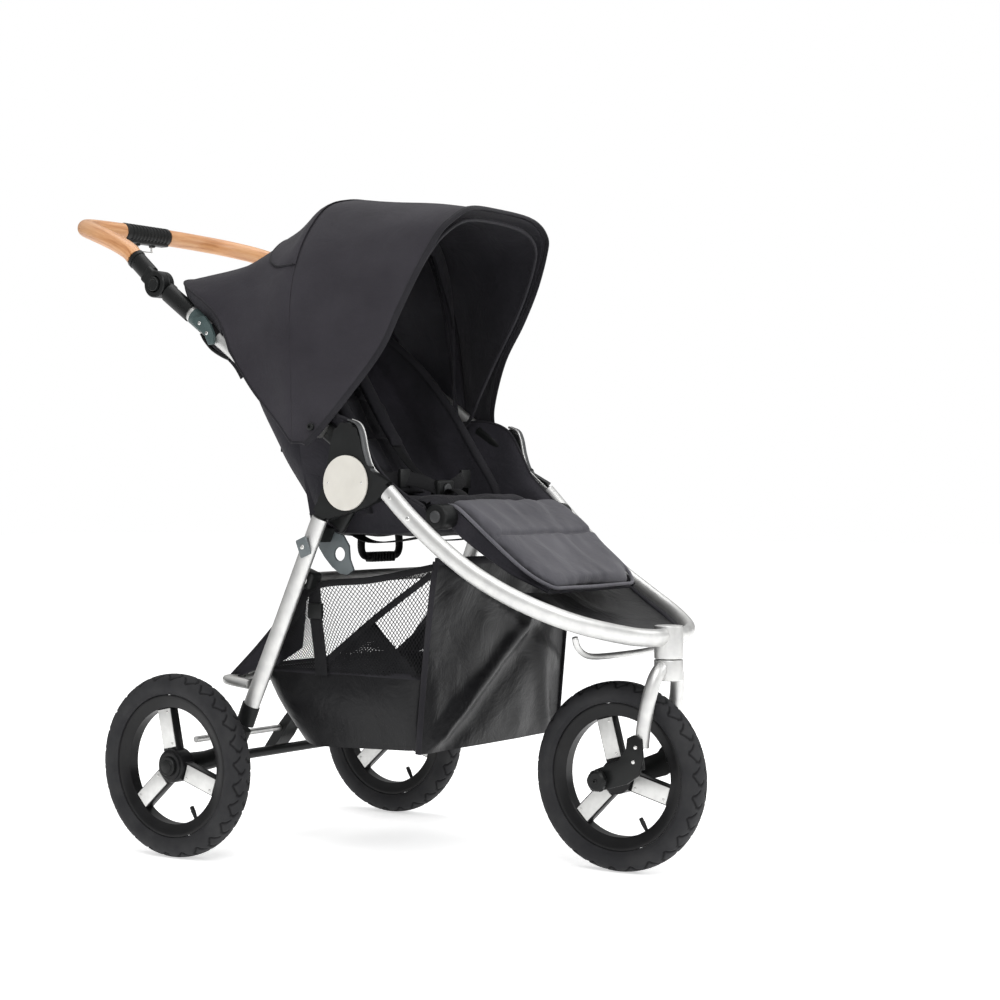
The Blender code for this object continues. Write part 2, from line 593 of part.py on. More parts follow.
def make_canopy(upper_body):
    mid_points = [(0.2125, 0.016, 0.719), (0.2125, 0.026, 0.790), (0.2100, 0.036, 0.870),
                  (0.1950, 0.043, 0.960), (0.1600, 0.048, 1.035), (0.0950, 0.050, 1.085),
                  (0, 0.050, 1.099)]
    mid_body = pivot_empty("canopy_mid_pivot", CANOPY_HUB, upper_body)
    mid = add("canopy_mid_bow", bow(mid_points, 0.0035), "black_plastic", mid_body)
    for word, side in SIDES:
        hub = drum(CANOPY_HUB, *span(side, 0.2088, 0.2185), 0.014, 16, 0.001)
        combine(mid, add_tool(f"canopy_hub_{word}", hub, mid_body), "UNION")
    stay_body = pivot_empty("canopy_stay_pivot", CANOPY_HUB, upper_body)
    lean = Matrix.Rotation(math.radians(8), 3, "X")
    shrink = 0.970
    stay_points = []
    for x, y, z in mid_points:
        arm = lean @ Vector((0, y - CANOPY_HUB.y, z - CANOPY_HUB.z)) * shrink
        stay_points.append((x * 0.1985 / 0.2125, CANOPY_HUB.y + arm.y, CANOPY_HUB.z + arm.z))
    add("canopy_stay_bow", bow(stay_points, 0.0025, 6), "black_plastic", stay_body)
    front_body = pivot_empty("canopy_front_pivot", CANOPY_HUB, stay_body)
    front_points = [(0.2045, 0.012, 0.722), (0.1990, -0.018, 0.734), (0.1830, -0.043, 0.766),
                    (0.1700, -0.085, 0.826), (0.1690, -0.128, 0.893), (0.1640, -0.161, 0.952),
                    (0.1490, -0.190, 1.006), (0.1280, -0.203, 1.031), (0.0850, -0.207, 1.052),
                    (0, -0.198, 1.059)]
    add("canopy_front_bow", bow(front_points, 0.0035), "black_plastic", front_body)

    rim = [(0.2485, 0.012, 0.688), (0.2470, -0.026, 0.722), (0.2040, -0.054, 0.768),
           (0.1800, -0.104, 0.838), (0.1800, -0.142, 0.902), (0.1750, -0.175, 0.962),
           (0.1600, -0.204, 1.020), (0.1390, -0.219, 1.047), (0.0920, -0.2225, 1.069),
           (0, -0.211, 1.076)]
    mid_seam = [(0.2510, 0.022, 0.688), (0.2510, 0.023, 0.740), (0.2490, 0.026, 0.800),
                (0.2460, 0.031, 0.855), (0.2380, 0.037, 0.912), (0.2200, 0.043, 0.968),
                (0.1850, 0.047, 1.030), (0.1280, 0.049, 1.086), (0.0650, 0.050, 1.106),
                (0, 0.050, 1.111)]
    half_way = [(0.5 * (a[0] + b[0]), 0.5 * (a[1] + b[1]), 0.5 * (a[2] + b[2]) + 0.006 * i / 9)
                for i, (a, b) in enumerate(zip(rim, mid_seam))]
    add("canopy_front", sheet([rim, half_way, mid_seam], 0.003), "canopy_fabric", front_body)
    first = [(x, y + 0.003, z) for x, y, z in mid_seam]
    second = [(0.2510, 0.060, 0.722), (0.2510, 0.070, 0.770), (0.2505, 0.080, 0.815),
              (0.2490, 0.088, 0.858), (0.2440, 0.096, 0.905), (0.2280, 0.104, 0.955),
              (0.1930, 0.110, 1.008), (0.1320, 0.114, 1.051), (0.0660, 0.116, 1.066),
              (0, 0.117, 1.070)]
    third = [(0.2510, 0.112, 0.775), (0.2510, 0.124, 0.810), (0.2505, 0.136, 0.842),
             (0.2495, 0.148, 0.874), (0.2460, 0.162, 0.908), (0.2360, 0.176, 0.944),
             (0.2080, 0.188, 0.980), (0.1430, 0.196, 1.007), (0.0710, 0.199, 1.016),
             (0, 0.200, 1.018)]
    last = [(0.2510, 0.156, 0.842), (0.2510, 0.166, 0.868), (0.2510, 0.178, 0.890),
            (0.2505, 0.194, 0.910), (0.2490, 0.220, 0.930), (0.2450, 0.252, 0.950),
            (0.2180, 0.284, 0.968), (0.1460, 0.298, 0.976), (0.0720, 0.302, 0.979),
            (0, 0.303, 0.980)]
    add("canopy_rear", sheet([first, second, third, last], 0.003), "canopy_fabric", upper_body)


# ---- seat back ----
def make_seat_back(upper_body):
    """A padded U-shaped back: a rear panel and a wing on each side."""
    body = pivot_empty("seat_back_pivot", SEAT_HINGE, upper_body)
    stations = [(0.040, 0.572, 0.130, 0.194), (0.068, 0.612, 0.150, 0.194), (0.118, 0.680, 0.155, 0.194),
                (0.168, 0.762, 0.150, 0.190), (0.215, 0.845, 0.130, 0.172), (0.256, 0.925, 0.085, 0.128)]
    thick = 0.020
    shape = bmesh.new()
    rows = []
    for y, z, wing, half in stations:
        outer = [(half, y - wing), (half, y - 0.045), (half - 0.030, y)]
        inner = [(half - 0.042, y - thick), (half - thick, y - 0.052), (half - thick, y - wing)]
        ring = [(x, yy) for x, yy in outer] + [(-x, yy) for x, yy in reversed(outer)]
        ring += [(-x, yy) for x, yy in reversed(inner)] + [(x, yy) for x, yy in inner]
        rows.append([shape.verts.new((x, yy, z)) for x, yy in ring])
    for row, following in zip(rows, rows[1:]):
        for k in range(len(row)):
            n = (k + 1) % len(row)
            shape.faces.new((row[k], row[n], following[n], following[k]))
    shape.faces.new(rows[0])
    shape.faces.new(list(reversed(rows[-1])))
    add("seat_back", shape, "seat_fabric", body)


# ---- rear legs, axle and brake ----
def make_rear_legs():
    body = pivot_empty("rear_legs_pivot", EAR_CENTRE)
    way = unit(0.397, -0.918)
    top = Vector((0, -0.024, 0.566)) + way * 0.001
    leg_end = LEG_HINGE - way * 0.004
    for word, side in SIDES:
        path = [Vector((side * 0.235, top.y, top.z)), Vector((side * 0.250, leg_end.y, leg_end.z))]
        leg = add(f"rear_leg_{word}", sweep(path, *LEG_TUBE, 12), "aluminium", body)
        low, high = span(side, 0.1985, 0.2310)
        middle = top + way * 0.026
        step = plate([(middle.y + dy, middle.z + dz) for dy, dz in
                      ((-0.016, -0.006), (0.006, -0.016), (0.015, 0.006), (-0.007, 0.015))], low, high)
        combine(leg, add_tool(f"leg_step_{word}", step, body), "UNION")
        low, high = span(side, 0.1985, 0.2105)
        lug = outline_round((EAR_CENTRE.y, EAR_CENTRE.z), 0.022, 30, 220, 8)
        lug += [(middle.y - 0.016, middle.z - 0.006), (middle.y + 0.006, middle.z - 0.016),
                (middle.y + 0.015, middle.z + 0.006)]
        combine(leg, add_tool(f"leg_lug_{word}", plate(lug, low, high), body), "UNION")
    cross = Vector((0, 0.0199, 0.465))
    add("rear_cross_bar", drum(cross, -0.2288, 0.2288, 0.0105, 14), "aluminium", body)
    bar = [(0.2475, 0.1155, 0.2890), (0.2490, 0.150, 0.2925), (0.2450, 0.170, 0.2945),
           (0.2290, 0.180, 0.2950), (0.150, 0.180, 0.2950), (0, 0.180, 0.2950)]
    whole = mirrored(bar, -1) + list(reversed(mirrored(bar, 1)))[1:]
    add("basket_bar", sweep(whole, 0.009, 0.009, 10), "aluminium", body)
    catch_body = pivot_empty("fold_catch_pivot", CATCH_HINGE, body)
    hook = [(0.006, 0.532), (-0.012, 0.545), (-0.040, 0.537), (-0.052, 0.520), (-0.054, 0.498),
            (-0.062, 0.480), (-0.050, 0.472), (-0.034, 0.474), (-0.018, 0.484), (-0.002, 0.500),
            (0.010, 0.516)]
    catch = add("fold_catch", plate(hook, -0.1965, -0.1915), "slate_plastic", catch_body)
    hole = drum((0, -0.033, 0.506), -0.205, -0.185, 0.0115, 16)
    combine(catch, add_tool("catch_hole", hole, catch_body), "DIFFERENCE")
    return body


def make_rear_axle(legs_body):
    """The sprung rear axle: a cross tube and an arm under each leg, with the parking brake."""
    body = pivot_empty("rear_axle_pivot", LEG_HINGE, legs_body)
    axle = add("rear_axle", drum(REAR_AXLE, -0.2722, 0.2722, 0.0085, 14), "black_plastic", body)
    arm = [(0.2505, 0.1275, 0.2170), (0.2510, 0.140, 0.1950), (0.2510, 0.168, 0.1720),
           (0.2510, 0.205, 0.1580), (0.2510, 0.242, 0.1515)]
    for word, side in SIDES:
        path = smooth_path(mirrored(arm, side), 2)
        tool = add_tool(f"axle_arm_{word}", sweep(path, 0.0125, 0.0165, 12), body)
        combine(axle, tool, "UNION")
    brake_body = pivot_empty("brake_pivot", BRAKE_AXIS, body)
    add("brake_rod", drum(BRAKE_AXIS, -0.2360, 0.2360, 0.0055, 10), "aluminium", brake_body)
    pad = [(0.207, 0.218), (0.214, 0.224), (0.224, 0.219), (0.254, 0.186), (0.286, 0.142),
           (0.282, 0.134), (0.272, 0.136), (0.240, 0.172), (0.232, 0.184)]
    pedal = add("brake_pedal", plate(pad, -0.0185, 0.0185), "black_plastic", brake_body)
    bore = drum(BRAKE_AXIS, -0.030, 0.030, 0.0055 + GAP, 12)
    combine(pedal, add_tool("pedal_bore", bore, brake_body), "DIFFERENCE")
    return body


clear_scene()
MATERIALS = {name: make_material(name) for name in COLOURS}
make_front_frame()
make_footwell()
make_seat_base()
make_leg_rest()
make_fold_handle()
make_basket()
UPPER_BODY = make_upper_frame()
make_handle(UPPER_BODY)
make_canopy(UPPER_BODY)
make_seat_back(UPPER_BODY)
LEGS_BODY = make_rear_legs()
AXLE_BODY = make_rear_axle(LEGS_BODY)
make_rear_wheels(AXLE_BODY)
make_front_wheel(make_fork())
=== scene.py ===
"""Looks of the three-wheeled jogging stroller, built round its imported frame.

+X is the child's left, -Y is the way it rolls, +Z is up and the floor is z = 0. Lengths are in metres.
"""
import json
import math

import bmesh
import bpy
import numpy as np
from mathutils import Matrix, Vector, noise

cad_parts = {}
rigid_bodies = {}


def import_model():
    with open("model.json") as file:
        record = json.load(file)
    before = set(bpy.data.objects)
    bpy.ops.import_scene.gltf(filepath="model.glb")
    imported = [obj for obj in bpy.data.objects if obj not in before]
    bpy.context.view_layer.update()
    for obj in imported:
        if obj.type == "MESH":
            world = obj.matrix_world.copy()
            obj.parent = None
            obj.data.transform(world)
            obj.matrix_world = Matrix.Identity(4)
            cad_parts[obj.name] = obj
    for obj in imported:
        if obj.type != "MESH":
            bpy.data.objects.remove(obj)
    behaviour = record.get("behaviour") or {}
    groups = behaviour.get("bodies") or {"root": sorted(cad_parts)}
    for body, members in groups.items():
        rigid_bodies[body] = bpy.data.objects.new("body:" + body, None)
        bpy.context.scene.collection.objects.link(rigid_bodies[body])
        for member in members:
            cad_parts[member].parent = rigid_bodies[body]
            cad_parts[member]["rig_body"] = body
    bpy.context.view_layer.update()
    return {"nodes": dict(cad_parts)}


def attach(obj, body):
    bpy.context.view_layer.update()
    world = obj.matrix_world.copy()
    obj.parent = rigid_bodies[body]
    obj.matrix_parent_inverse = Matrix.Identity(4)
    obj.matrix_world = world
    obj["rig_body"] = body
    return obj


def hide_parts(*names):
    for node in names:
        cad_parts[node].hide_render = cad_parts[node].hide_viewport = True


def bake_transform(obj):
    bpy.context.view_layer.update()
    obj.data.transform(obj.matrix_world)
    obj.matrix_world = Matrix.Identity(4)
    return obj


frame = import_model()
SIDES = (("left", 1), ("right", -1))


# ---- small tools ----
def only(*pieces):
    """Makes these the selected objects, with the first one active."""
    if bpy.context.object and bpy.context.object.mode != "OBJECT":
        bpy.ops.object.mode_set(mode="OBJECT")
    bpy.ops.object.select_all(action="DESELECT")
    for piece in pieces:
        piece.select_set(True)
    bpy.context.view_layer.objects.active = pieces[0]


def apply_modifier(piece, kind, **settings):
    """Adds a modifier with its settings and applies it at once."""
    only(piece)
    modifier = piece.modifiers.new(kind.title(), kind)
    for name, value in settings.items():
        setattr(modifier, name, value)
    bpy.ops.object.modifier_apply(modifier=modifier.name)


def round_off(piece, angle=35):
    only(piece)
    bpy.ops.object.shade_smooth_by_angle(angle=math.radians(angle))


def seat_in_place(piece):
    """Puts a piece's place, turn and size into its mesh, with its object at the origin."""
    only(piece)
    bpy.ops.object.transform_apply(location=True, rotation=True, scale=True)


def dress(piece, body, finish, stands_for=()):
    """Gives a piece its material and the body it moves with, and hides the CAD nodes it stands for."""
    piece.data.materials.clear()
    for one in finish if isinstance(finish, (list, tuple)) else [finish]:
        piece.data.materials.append(one)
    if body:
        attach(piece, body)
    if stands_for:
        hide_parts(*([stands_for] if isinstance(stands_for, str) else stands_for))
    return piece


def joined(name, pieces):
    """Joins pieces into one mesh and keeps their materials."""
    only(*pieces)
    if len(pieces) > 1:
        bpy.ops.object.join()
    whole = bpy.context.object
    whole.name = whole.data.name = name
    return whole


def in_edit(piece, *steps):
    """Runs edit-mode operators on the whole of a piece."""
    only(piece)
    bpy.ops.object.mode_set(mode="EDIT")
    bpy.ops.mesh.select_all(action="SELECT")
    for operator, settings in steps:
        operator(**settings)
    bpy.ops.object.mode_set(mode="OBJECT")


def mesh_piece(name, points, faces, uv=None):
    mesh = bpy.data.meshes.new(name)
    mesh.from_pydata([tuple(p) for p in points], [], faces)
    if uv is not None:
        layer = mesh.uv_layers.new(name="cloth")
        for loop in mesh.loops:
            layer.data[loop.index].uv = uv[loop.vertex_index]
    mesh.validate()
    piece = bpy.data.objects.new(name, mesh)
    bpy.context.scene.collection.objects.link(piece)
    return piece


def catmull(points, count):
    """count points spread along a smooth curve through the given ones."""
    pts = np.array(points, float)
    pts = np.vstack([2 * pts[0] - pts[1], pts, 2 * pts[-1] - pts[-2]])
    t = np.linspace(0, len(pts) - 3 - 1e-9, count)
    k = t.astype(int)
    t = (t - k)[:, None]
    a, b, c, d = pts[k], pts[k + 1], pts[k + 2], pts[k + 3]
    return 0.5 * (2 * b + (c - a) * t + (2 * a - 5 * b + 4 * c - d) * t ** 2
                  + (3 * b - a - 3 * c + d) * t ** 3)


def spread(rows, across, along):
    """A fine grid of points through coarse rows."""
    fine = np.array([catmull(row, across) for row in rows])
    return np.array([catmull(fine[:, k], along) for k in range(across)]).transpose(1, 0, 2)


def grid_faces(rows, columns, loop_rows=False, loop_columns=False):
    faces = []
    for i in range(rows if loop_rows else rows - 1):
        for k in range(columns if loop_columns else columns - 1):
            n, m = (i + 1) % rows, (k + 1) % columns
            faces.append((i * columns + k, i * columns + m, n * columns + m, n * columns + k))
    return faces


def grid_uv(grid):
    """Cloth coordinates in metres, measured along the sheet both ways."""
    across = np.linalg.norm(np.diff(grid, axis=1), axis=2).mean(0)
    along = np.linalg.norm(np.diff(grid, axis=0), axis=2).mean(1)
    u, v = np.append(0, np.cumsum(across)), np.append(0, np.cumsum(along))
    return [(u[k], v[i]) for i in range(grid.shape[0]) for k in range(grid.shape[1])]


def cloth(name, grid, thickness=0.0016, offset=0.0):
    """A sheet of fabric through a grid of points, with its cloth coordinates measured in metres along the sheet."""
    rows, columns = grid.shape[:2]
    piece = mesh_piece(name, grid.reshape(-1, 3), grid_faces(rows, columns), grid_uv(grid))
    if thickness:
        apply_modifier(piece, "SOLIDIFY", thickness=thickness, offset=offset)
    round_off(piece, 60)
    return piece


def swept(name, path, section, across=(1, 0, 0), loop=False):
    """A closed strip, cord or tube: a section of (across, up) points carried along a path."""
    path = np.array(path, float)
    side = Vector(across)
    count = len(path)
    points, uv, length = [], [], 0.0
    around = np.append(0, np.cumsum([math.dist(a, b) for a, b in zip(section, section[1:])]))
    for i in range(count):
        if loop:
            along = Vector(path[(i + 1) % count] - path[i - 1]).normalized()
        else:
            along = Vector(path[min(i + 1, count - 1)] - path[max(i - 1, 0)]).normalized()
        side = (side - side.dot(along) * along).normalized()
        up = along.cross(side)
        length += math.dist(path[i], path[i - 1]) if i else 0
        for k, (a, b) in enumerate(section):
            points.append(Vector(path[i]) + side * a + up * b)
            uv.append((around[k], length))
    faces = grid_faces(count, len(section), loop, True)
    if not loop:
        last = (count - 1) * len(section)
        faces += [tuple(range(len(section)))[::-1], tuple(range(last, last + len(section)))]
    piece = mesh_piece(name, points, faces, uv)
    in_edit(piece, (bpy.ops.mesh.normals_make_consistent, {"inside": False}))
    round_off(piece, 50)
    return piece


def oval(half_across, half_up, sides=24):
    return [(half_across * math.cos(2 * math.pi * k / sides), half_up * math.sin(2 * math.pi * k / sides))
            for k in range(sides)]


def tape(width, thickness):
    """The section of webbing, with its edges rounded."""
    w, t = width / 2, thickness / 2
    e = min(t * 0.9, w * 0.3)
    return [(-w + e, -t), (w - e, -t), (w, -t * 0.35), (w, t * 0.35), (w - e, t), (-w + e, t),
            (-w, t * 0.35), (-w, -t * 0.35)]


def lathe(name, profile, centre, steps=64):
    """A solid turned about an X axis through centre, from (x, radius) points that close a ring."""
    bpy.ops.object.select_all(action="DESELECT")
    bpy.ops.mesh.primitive_circle_add(vertices=len(profile), radius=0.01, location=(0, 0, 0))
    piece = bpy.context.object
    piece.name = piece.data.name = name
    for vertex, (x, radius) in zip(piece.data.vertices, profile):
        vertex.co = Vector(centre) + Vector((x, radius, 0))
    in_edit(piece,
            (bpy.ops.mesh.spin, {"steps": steps, "angle": 2 * math.pi, "center": tuple(centre),
                                 "axis": (1, 0, 0)}),
            (bpy.ops.mesh.select_all, {"action": "SELECT"}),
            (bpy.ops.mesh.remove_doubles, {"threshold": 1e-6}),
            (bpy.ops.mesh.delete_loose, {}),
            (bpy.ops.mesh.select_all, {"action": "SELECT"}),
            (bpy.ops.mesh.normals_make_consistent, {"inside": False}))
    round_off(piece)
    return piece


def slab(name, centre, size, bevel=0.001, segments=2, turn=0.0, pivot=None):
    """A block with its edges rounded, turned about an X axis through pivot."""
    bpy.ops.object.select_all(action="DESELECT")
    bpy.ops.mesh.primitive_cube_add(size=1, location=centre, scale=size)
    piece = bpy.context.object
    piece.name = piece.data.name = name
    seat_in_place(piece)
    in_edit(piece, (bpy.ops.mesh.bevel, {"offset": bevel, "segments": segments, "affect": "EDGES"}))
    if turn:
        piece.data.transform(Matrix.Translation(pivot or centre) @ Matrix.Rotation(turn, 4, "X")
                             @ Matrix.Translation(-Vector(pivot or centre)))
    round_off(piece)
    return piece


def refined(node, body, finish, levels=2, sharp=40, keep_edges=True, name=None):
    """A smoother copy of a CAD node, merged, cleaned and subdivided, which stands for it."""
    source = frame["nodes"][node]
    piece = bpy.data.objects.new(name or node + "_finished", source.data.copy())
    bpy.context.scene.collection.objects.link(piece)
    only(piece)
    bpy.ops.mesh.customdata_custom_splitnormals_clear()
    shape = bmesh.new()
    shape.from_mesh(piece.data)
    bmesh.ops.remove_doubles(shape, verts=shape.verts, dist=1e-6)
    bmesh.ops.dissolve_limit(shape, angle_limit=math.radians(1), verts=shape.verts, edges=shape.edges)
    crease = shape.edges.layers.float.get("crease_edge") or shape.edges.layers.float.new("crease_edge")
    for edge in shape.edges:
        if keep_edges and edge.calc_face_angle(0) > math.radians(sharp):
            edge[crease] = 0.85
    shape.to_mesh(piece.data)
    shape.free()
    if levels:
        apply_modifier(piece, "SUBSURF", levels=levels, render_levels=levels)
    round_off(piece, sharp)
    return dress(piece, body, finish, node)


# ---- materials ----
def tone(code):
    """An sRGB hex colour as linear light."""
    parts = [int(code[i:i + 2], 16) / 255 for i in (1, 3, 5)]
    return [c / 12.92 if c <= 0.04045 else ((c + 0.055) / 1.055) ** 2.4 for c in parts] + [1.0]


def put(tree, kind, settings=None, links=None):
    """Adds a node. Settings are its properties or input values, links its inputs' sources."""
    made = tree.nodes.new(kind)
    for name, value in (settings or {}).items():
        if isinstance(name, int) or name in made.inputs:
            made.inputs[name].default_value = value
        else:
            setattr(made, name, value)
    for name, (source, output) in (links or {}).items():
        tree.links.new(source.outputs[output], made.inputs[name])
    return made


def blank(name):
    material = bpy.data.materials.new(name)
    material.use_nodes = True
    tree = material.node_tree
    return material, tree, tree.nodes["Principled BSDF"]


def set_shader(shader, **values):
    for name, value in values.items():
        shader.inputs[name.replace("_", " ")].default_value = value


def mottled(tree, coordinates, output, code_a, code_b, scale, detail=4.0, low=0.35, high=0.65):
    """Two close shades mixed by noise, for colour that isn't quite even."""
    grain = put(tree, "ShaderNodeTexNoise", {"Scale": scale, "Detail": detail}, {"Vector": (coordinates, output)})
    return put(tree, "ShaderNodeValToRGB", {}, {"Fac": (grain, "Fac")}), grain


def shade_ramp(ramp, stops):
    elements = ramp.color_ramp.elements
    while len(elements) < len(stops):
        elements.new(0.5)
    for element, (place, code) in zip(elements, stops):
        element.position = place
        element.color = tone(code)


def metal(name, light, dark, roughness, grain_mm, metallic=1.0, bump=0.02):
    material, tree, shader = blank(name)
    where = put(tree, "ShaderNodeTexCoord")
    ramp, _ = mottled(tree, where, "Object", light, dark, 60)
    shade_ramp(ramp, [(0.35, dark), (0.65, light)])
    tree.links.new(ramp.outputs["Color"], shader.inputs["Base Color"])
    fine = put(tree, "ShaderNodeTexNoise", {"Scale": 1000 / grain_mm, "Detail": 2.0}, {"Vector": (where, "Object")})
    level = put(tree, "ShaderNodeMapRange", {"To Min": roughness - 0.05, "To Max": roughness + 0.07},
                {"Value": (fine, "Fac")})
    tree.links.new(level.outputs["Result"], shader.inputs["Roughness"])
    relief = put(tree, "ShaderNodeBump", {"Strength": bump, "Distance": 0.0004}, {"Height": (fine, "Fac")})
    tree.links.new(relief.outputs["Normal"], shader.inputs["Normal"])
    set_shader(shader, Metallic=metallic)
    return material


def moulded(name, base, worn, roughness, grain_mm=0.9, bump=0.12, specular=0.5):
    """Injection-moulded plastic or rubber: spark-eroded grain, and slightly uneven shade."""
    material, tree, shader = blank(name)
    where = put(tree, "ShaderNodeTexCoord")
    ramp, _ = mottled(tree, where, "Object", base, worn, 28)
    shade_ramp(ramp, [(0.38, base), (0.72, worn)])
    tree.links.new(ramp.outputs["Color"], shader.inputs["Base Color"])
    fine = put(tree, "ShaderNodeTexNoise", {"Scale": 1000 / grain_mm, "Detail": 3.0}, {"Vector": (where, "Object")})
    level = put(tree, "ShaderNodeMapRange", {"To Min": roughness - 0.06, "To Max": roughness + 0.08},
                {"Value": (fine, "Fac")})
    tree.links.new(level.outputs["Result"], shader.inputs["Roughness"])
    relief = put(tree, "ShaderNodeBump", {"Strength": bump, "Distance": 0.0005}, {"Height": (fine, "Fac")})
    tree.links.new(relief.outputs["Normal"], shader.inputs["Normal"])
    set_shader(shader, Specular_IOR_Level=specular)
    return material


WAVE = 0.314159     # a wave texture of scale 1 repeats every 0.314 m


def woven(name, base, light, dark, thread_mm, roughness=0.85, sheen=0.25, bump=0.25, crumple=0.25, coat=0.0,
          across_only=False, specular=0.15):
    """Woven cloth: warp and weft threads on the cloth's own coordinates, soft shade changes and creases."""
    material, tree, shader = blank(name)
    where = put(tree, "ShaderNodeTexCoord")
    ramp, _ = mottled(tree, where, "Object", light, dark, 9, 6.0)
    shade_ramp(ramp, [(0.30, dark), (0.50, base), (0.72, light)])
    scale = WAVE / (thread_mm / 1000)
    warp = put(tree, "ShaderNodeTexWave", {"bands_direction": "X", "Scale": scale, "Distortion": 0.6},
               {"Vector": (where, "UV")})
    weft = put(tree, "ShaderNodeTexWave", {"bands_direction": "Y", "Scale": scale, "Distortion": 0.6},
               {"Vector": (where, "UV")})
    kind = "MULTIPLY" if across_only else "MAXIMUM"
    threads = put(tree, "ShaderNodeMath", {"operation": kind}, {0: (warp, "Fac"), 1: (weft, "Fac")})
    if across_only:
        threads = weft
    shade = put(tree, "ShaderNodeMix", {"data_type": "RGBA", "blend_type": "MULTIPLY", "Factor": 0.35},
                {6: (ramp, "Color"), 7: (threads, "Value" if threads.type == "MATH" else "Color")})
    tree.links.new(shade.outputs[2], shader.inputs["Base Color"])
    folds = put(tree, "ShaderNodeTexNoise", {"Scale": 14.0, "Detail": 5.0, "Roughness": 0.6, "Distortion": 0.7},
                {"Vector": (where, "Object")})
    creases = put(tree, "ShaderNodeBump", {"Strength": crumple, "Distance": 0.012}, {"Height": (folds, "Fac")})
    relief = put(tree, "ShaderNodeBump", {"Strength": bump, "Distance": 0.0006},
                 {"Height": (threads, "Value" if threads.type == "MATH" else "Fac"), "Normal": (creases, "Normal")})
    tree.links.new(relief.outputs["Normal"], shader.inputs["Normal"])
    set_shader(shader, Roughness=roughness, Sheen_Weight=sheen, Sheen_Roughness=0.5, Coat_Weight=coat,
               Coat_Roughness=0.35, Specular_IOR_Level=specular)
    return material


def wood(name, light, middle, dark):
    """Beech grips, turned and lacquered: long pores along the grip and a thin satin lacquer."""
    material, tree, shader = blank(name)
    where = put(tree, "ShaderNodeTexCoord")
    stretch = put(tree, "ShaderNodeMapping", {"Scale": (1.0, 0.06, 1.0)}, {"Vector": (where, "UV")})
    grain = put(tree, "ShaderNodeTexNoise", {"Scale": 190.0, "Detail": 6.0, "Roughness": 0.6, "Distortion": 0.3},
                {"Vector": (stretch, "Vector")})
    ramp = put(tree, "ShaderNodeValToRGB", {}, {"Fac": (grain, "Fac")})
    shade_ramp(ramp, [(0.32, dark), (0.48, middle), (0.66, light)])
    broad = put(tree, "ShaderNodeTexNoise", {"Scale": 16.0, "Detail": 2.0}, {"Vector": (where, "Object")})
    tint = put(tree, "ShaderNodeMapRange", {"To Min": 0.86, "To Max": 1.12}, {"Value": (broad, "Fac")})
    colour = put(tree, "ShaderNodeHueSaturation", {}, {"Color": (ramp, "Color"), "Value": (tint, "Result")})
    tree.links.new(colour.outputs["Color"], shader.inputs["Base Color"])
    relief = put(tree, "ShaderNodeBump", {"Strength": 0.12, "Distance": 0.0004}, {"Height": (grain, "Fac")})
    tree.links.new(relief.outputs["Normal"], shader.inputs["Normal"])
    set_shader(shader, Roughness=0.42, Coat_Weight=0.25, Coat_Roughness=0.3)
    return material


# Bead-blasted, clear-anodised aluminium tube: even satin silver, with broad soft highlights.
ALUMINIUM = metal("anodised_aluminium", "#d6d6d4", "#cccccb", 0.47, 1.2)
# Bare zinc-plated steel screws and rivets: bright, small highlights.
ZINC = metal("zinc_plated_steel", "#e2e2e0", "#c9c9c7", 0.25, 1.5)
# Brushed aluminium face plates on the spokes: light, nearly white where they face the light.
PLATE = metal("brushed_plate", "#e0e0de", "#d4d4d2", 0.42, 1.4, metallic=0.55)
# Glass-filled nylon mouldings: near black, fine spark grain, soft shine.
NYLON = moulded("black_nylon", "#151616", "#1c1d1d", 0.40, specular=0.22)
# The same nylon in the levers and the catch, coloured slate.
SLATE = moulded("slate_nylon", "#3c4a4a", "#475555", 0.40, specular=0.3)
CATCH = moulded("grey_nylon", "#5b6264", "#666d6f", 0.42)
# The trim on the hub housing: grey satin nylon.
TRIM = moulded("grey_trim", "#3c3d3e", "#474849", 0.34, specular=0.35)
# Painted cover disc: warm pale grey, matt.
DISC = moulded("painted_cover", "#cfccc4", "#c6c3bb", 0.5, grain_mm=0.6, bump=0.05)
# Tyre rubber: charcoal, dusty matt, with a fine moulded skin, and painted shade in its tread grooves.
RUBBER = moulded("tyre_rubber", "#28282a", "#323233", 0.66, grain_mm=1.6, bump=0.25, specular=0.18)
rubber_tree = RUBBER.node_tree
rubber_shader = next(n for n in rubber_tree.nodes if n.type == "BSDF_PRINCIPLED")
rubber_colour = rubber_shader.inputs["Base Color"].links[0].from_socket
# Painted shade: the groove attribute darkens the rubber's colour to near black inside the tread grooves, where shade
# would fall.
groove_shade_mask = put(rubber_tree, "ShaderNodeAttribute", {"attribute_name": "groove"})
groove_painted_shade = put(rubber_tree, "ShaderNodeMix", {"data_type": "RGBA", 7: tone("#08080a")}, {0: (groove_shade_mask, "Fac")})
rubber_tree.links.new(rubber_colour, groove_painted_shade.inputs[6])
rubber_tree.links.new(groove_painted_shade.outputs[2], rubber_shader.inputs["Base Color"])
# Rim nylon: smoother and glossier than the frame mouldings.
RIM = moulded("rim_nylon", "#111112", "#181819", 0.32, grain_mm=1.2, bump=0.05, specular=0.22)
WOOD = wood("lacquered_beech", "#d2a071", "#c58e60", "#a97142")
# Canopy cloth: fine recycled-polyester twill. Its 0.4 mm threads are drawn at 1.6 mm so that they show.
CANOPY = woven("canopy_twill", "#312f34", "#37353a", "#2b292e", 1.6, 0.78, 0.05, crumple=0.22, specular=0.14)
LINING = woven("canopy_lining", "#2d2c31", "#343338", "#26252a", 1.4, 0.7, 0.05, crumple=0.45, specular=0.16)
TWILL = woven("seat_twill", "#2a292e", "#312f35", "#242328", 1.6, 0.80, 0.06, crumple=0.40, specular=0.14)
INNER = woven("seat_lining", "#2a292e", "#333138", "#222126", 1.5, 0.76, 0.08, crumple=0.6, specular=0.18)
QUILT = woven("leg_rest_twill", "#626167", "#6b6a70", "#59585e", 1.6, 0.84, 0.14, crumple=0.4, specular=0.2)
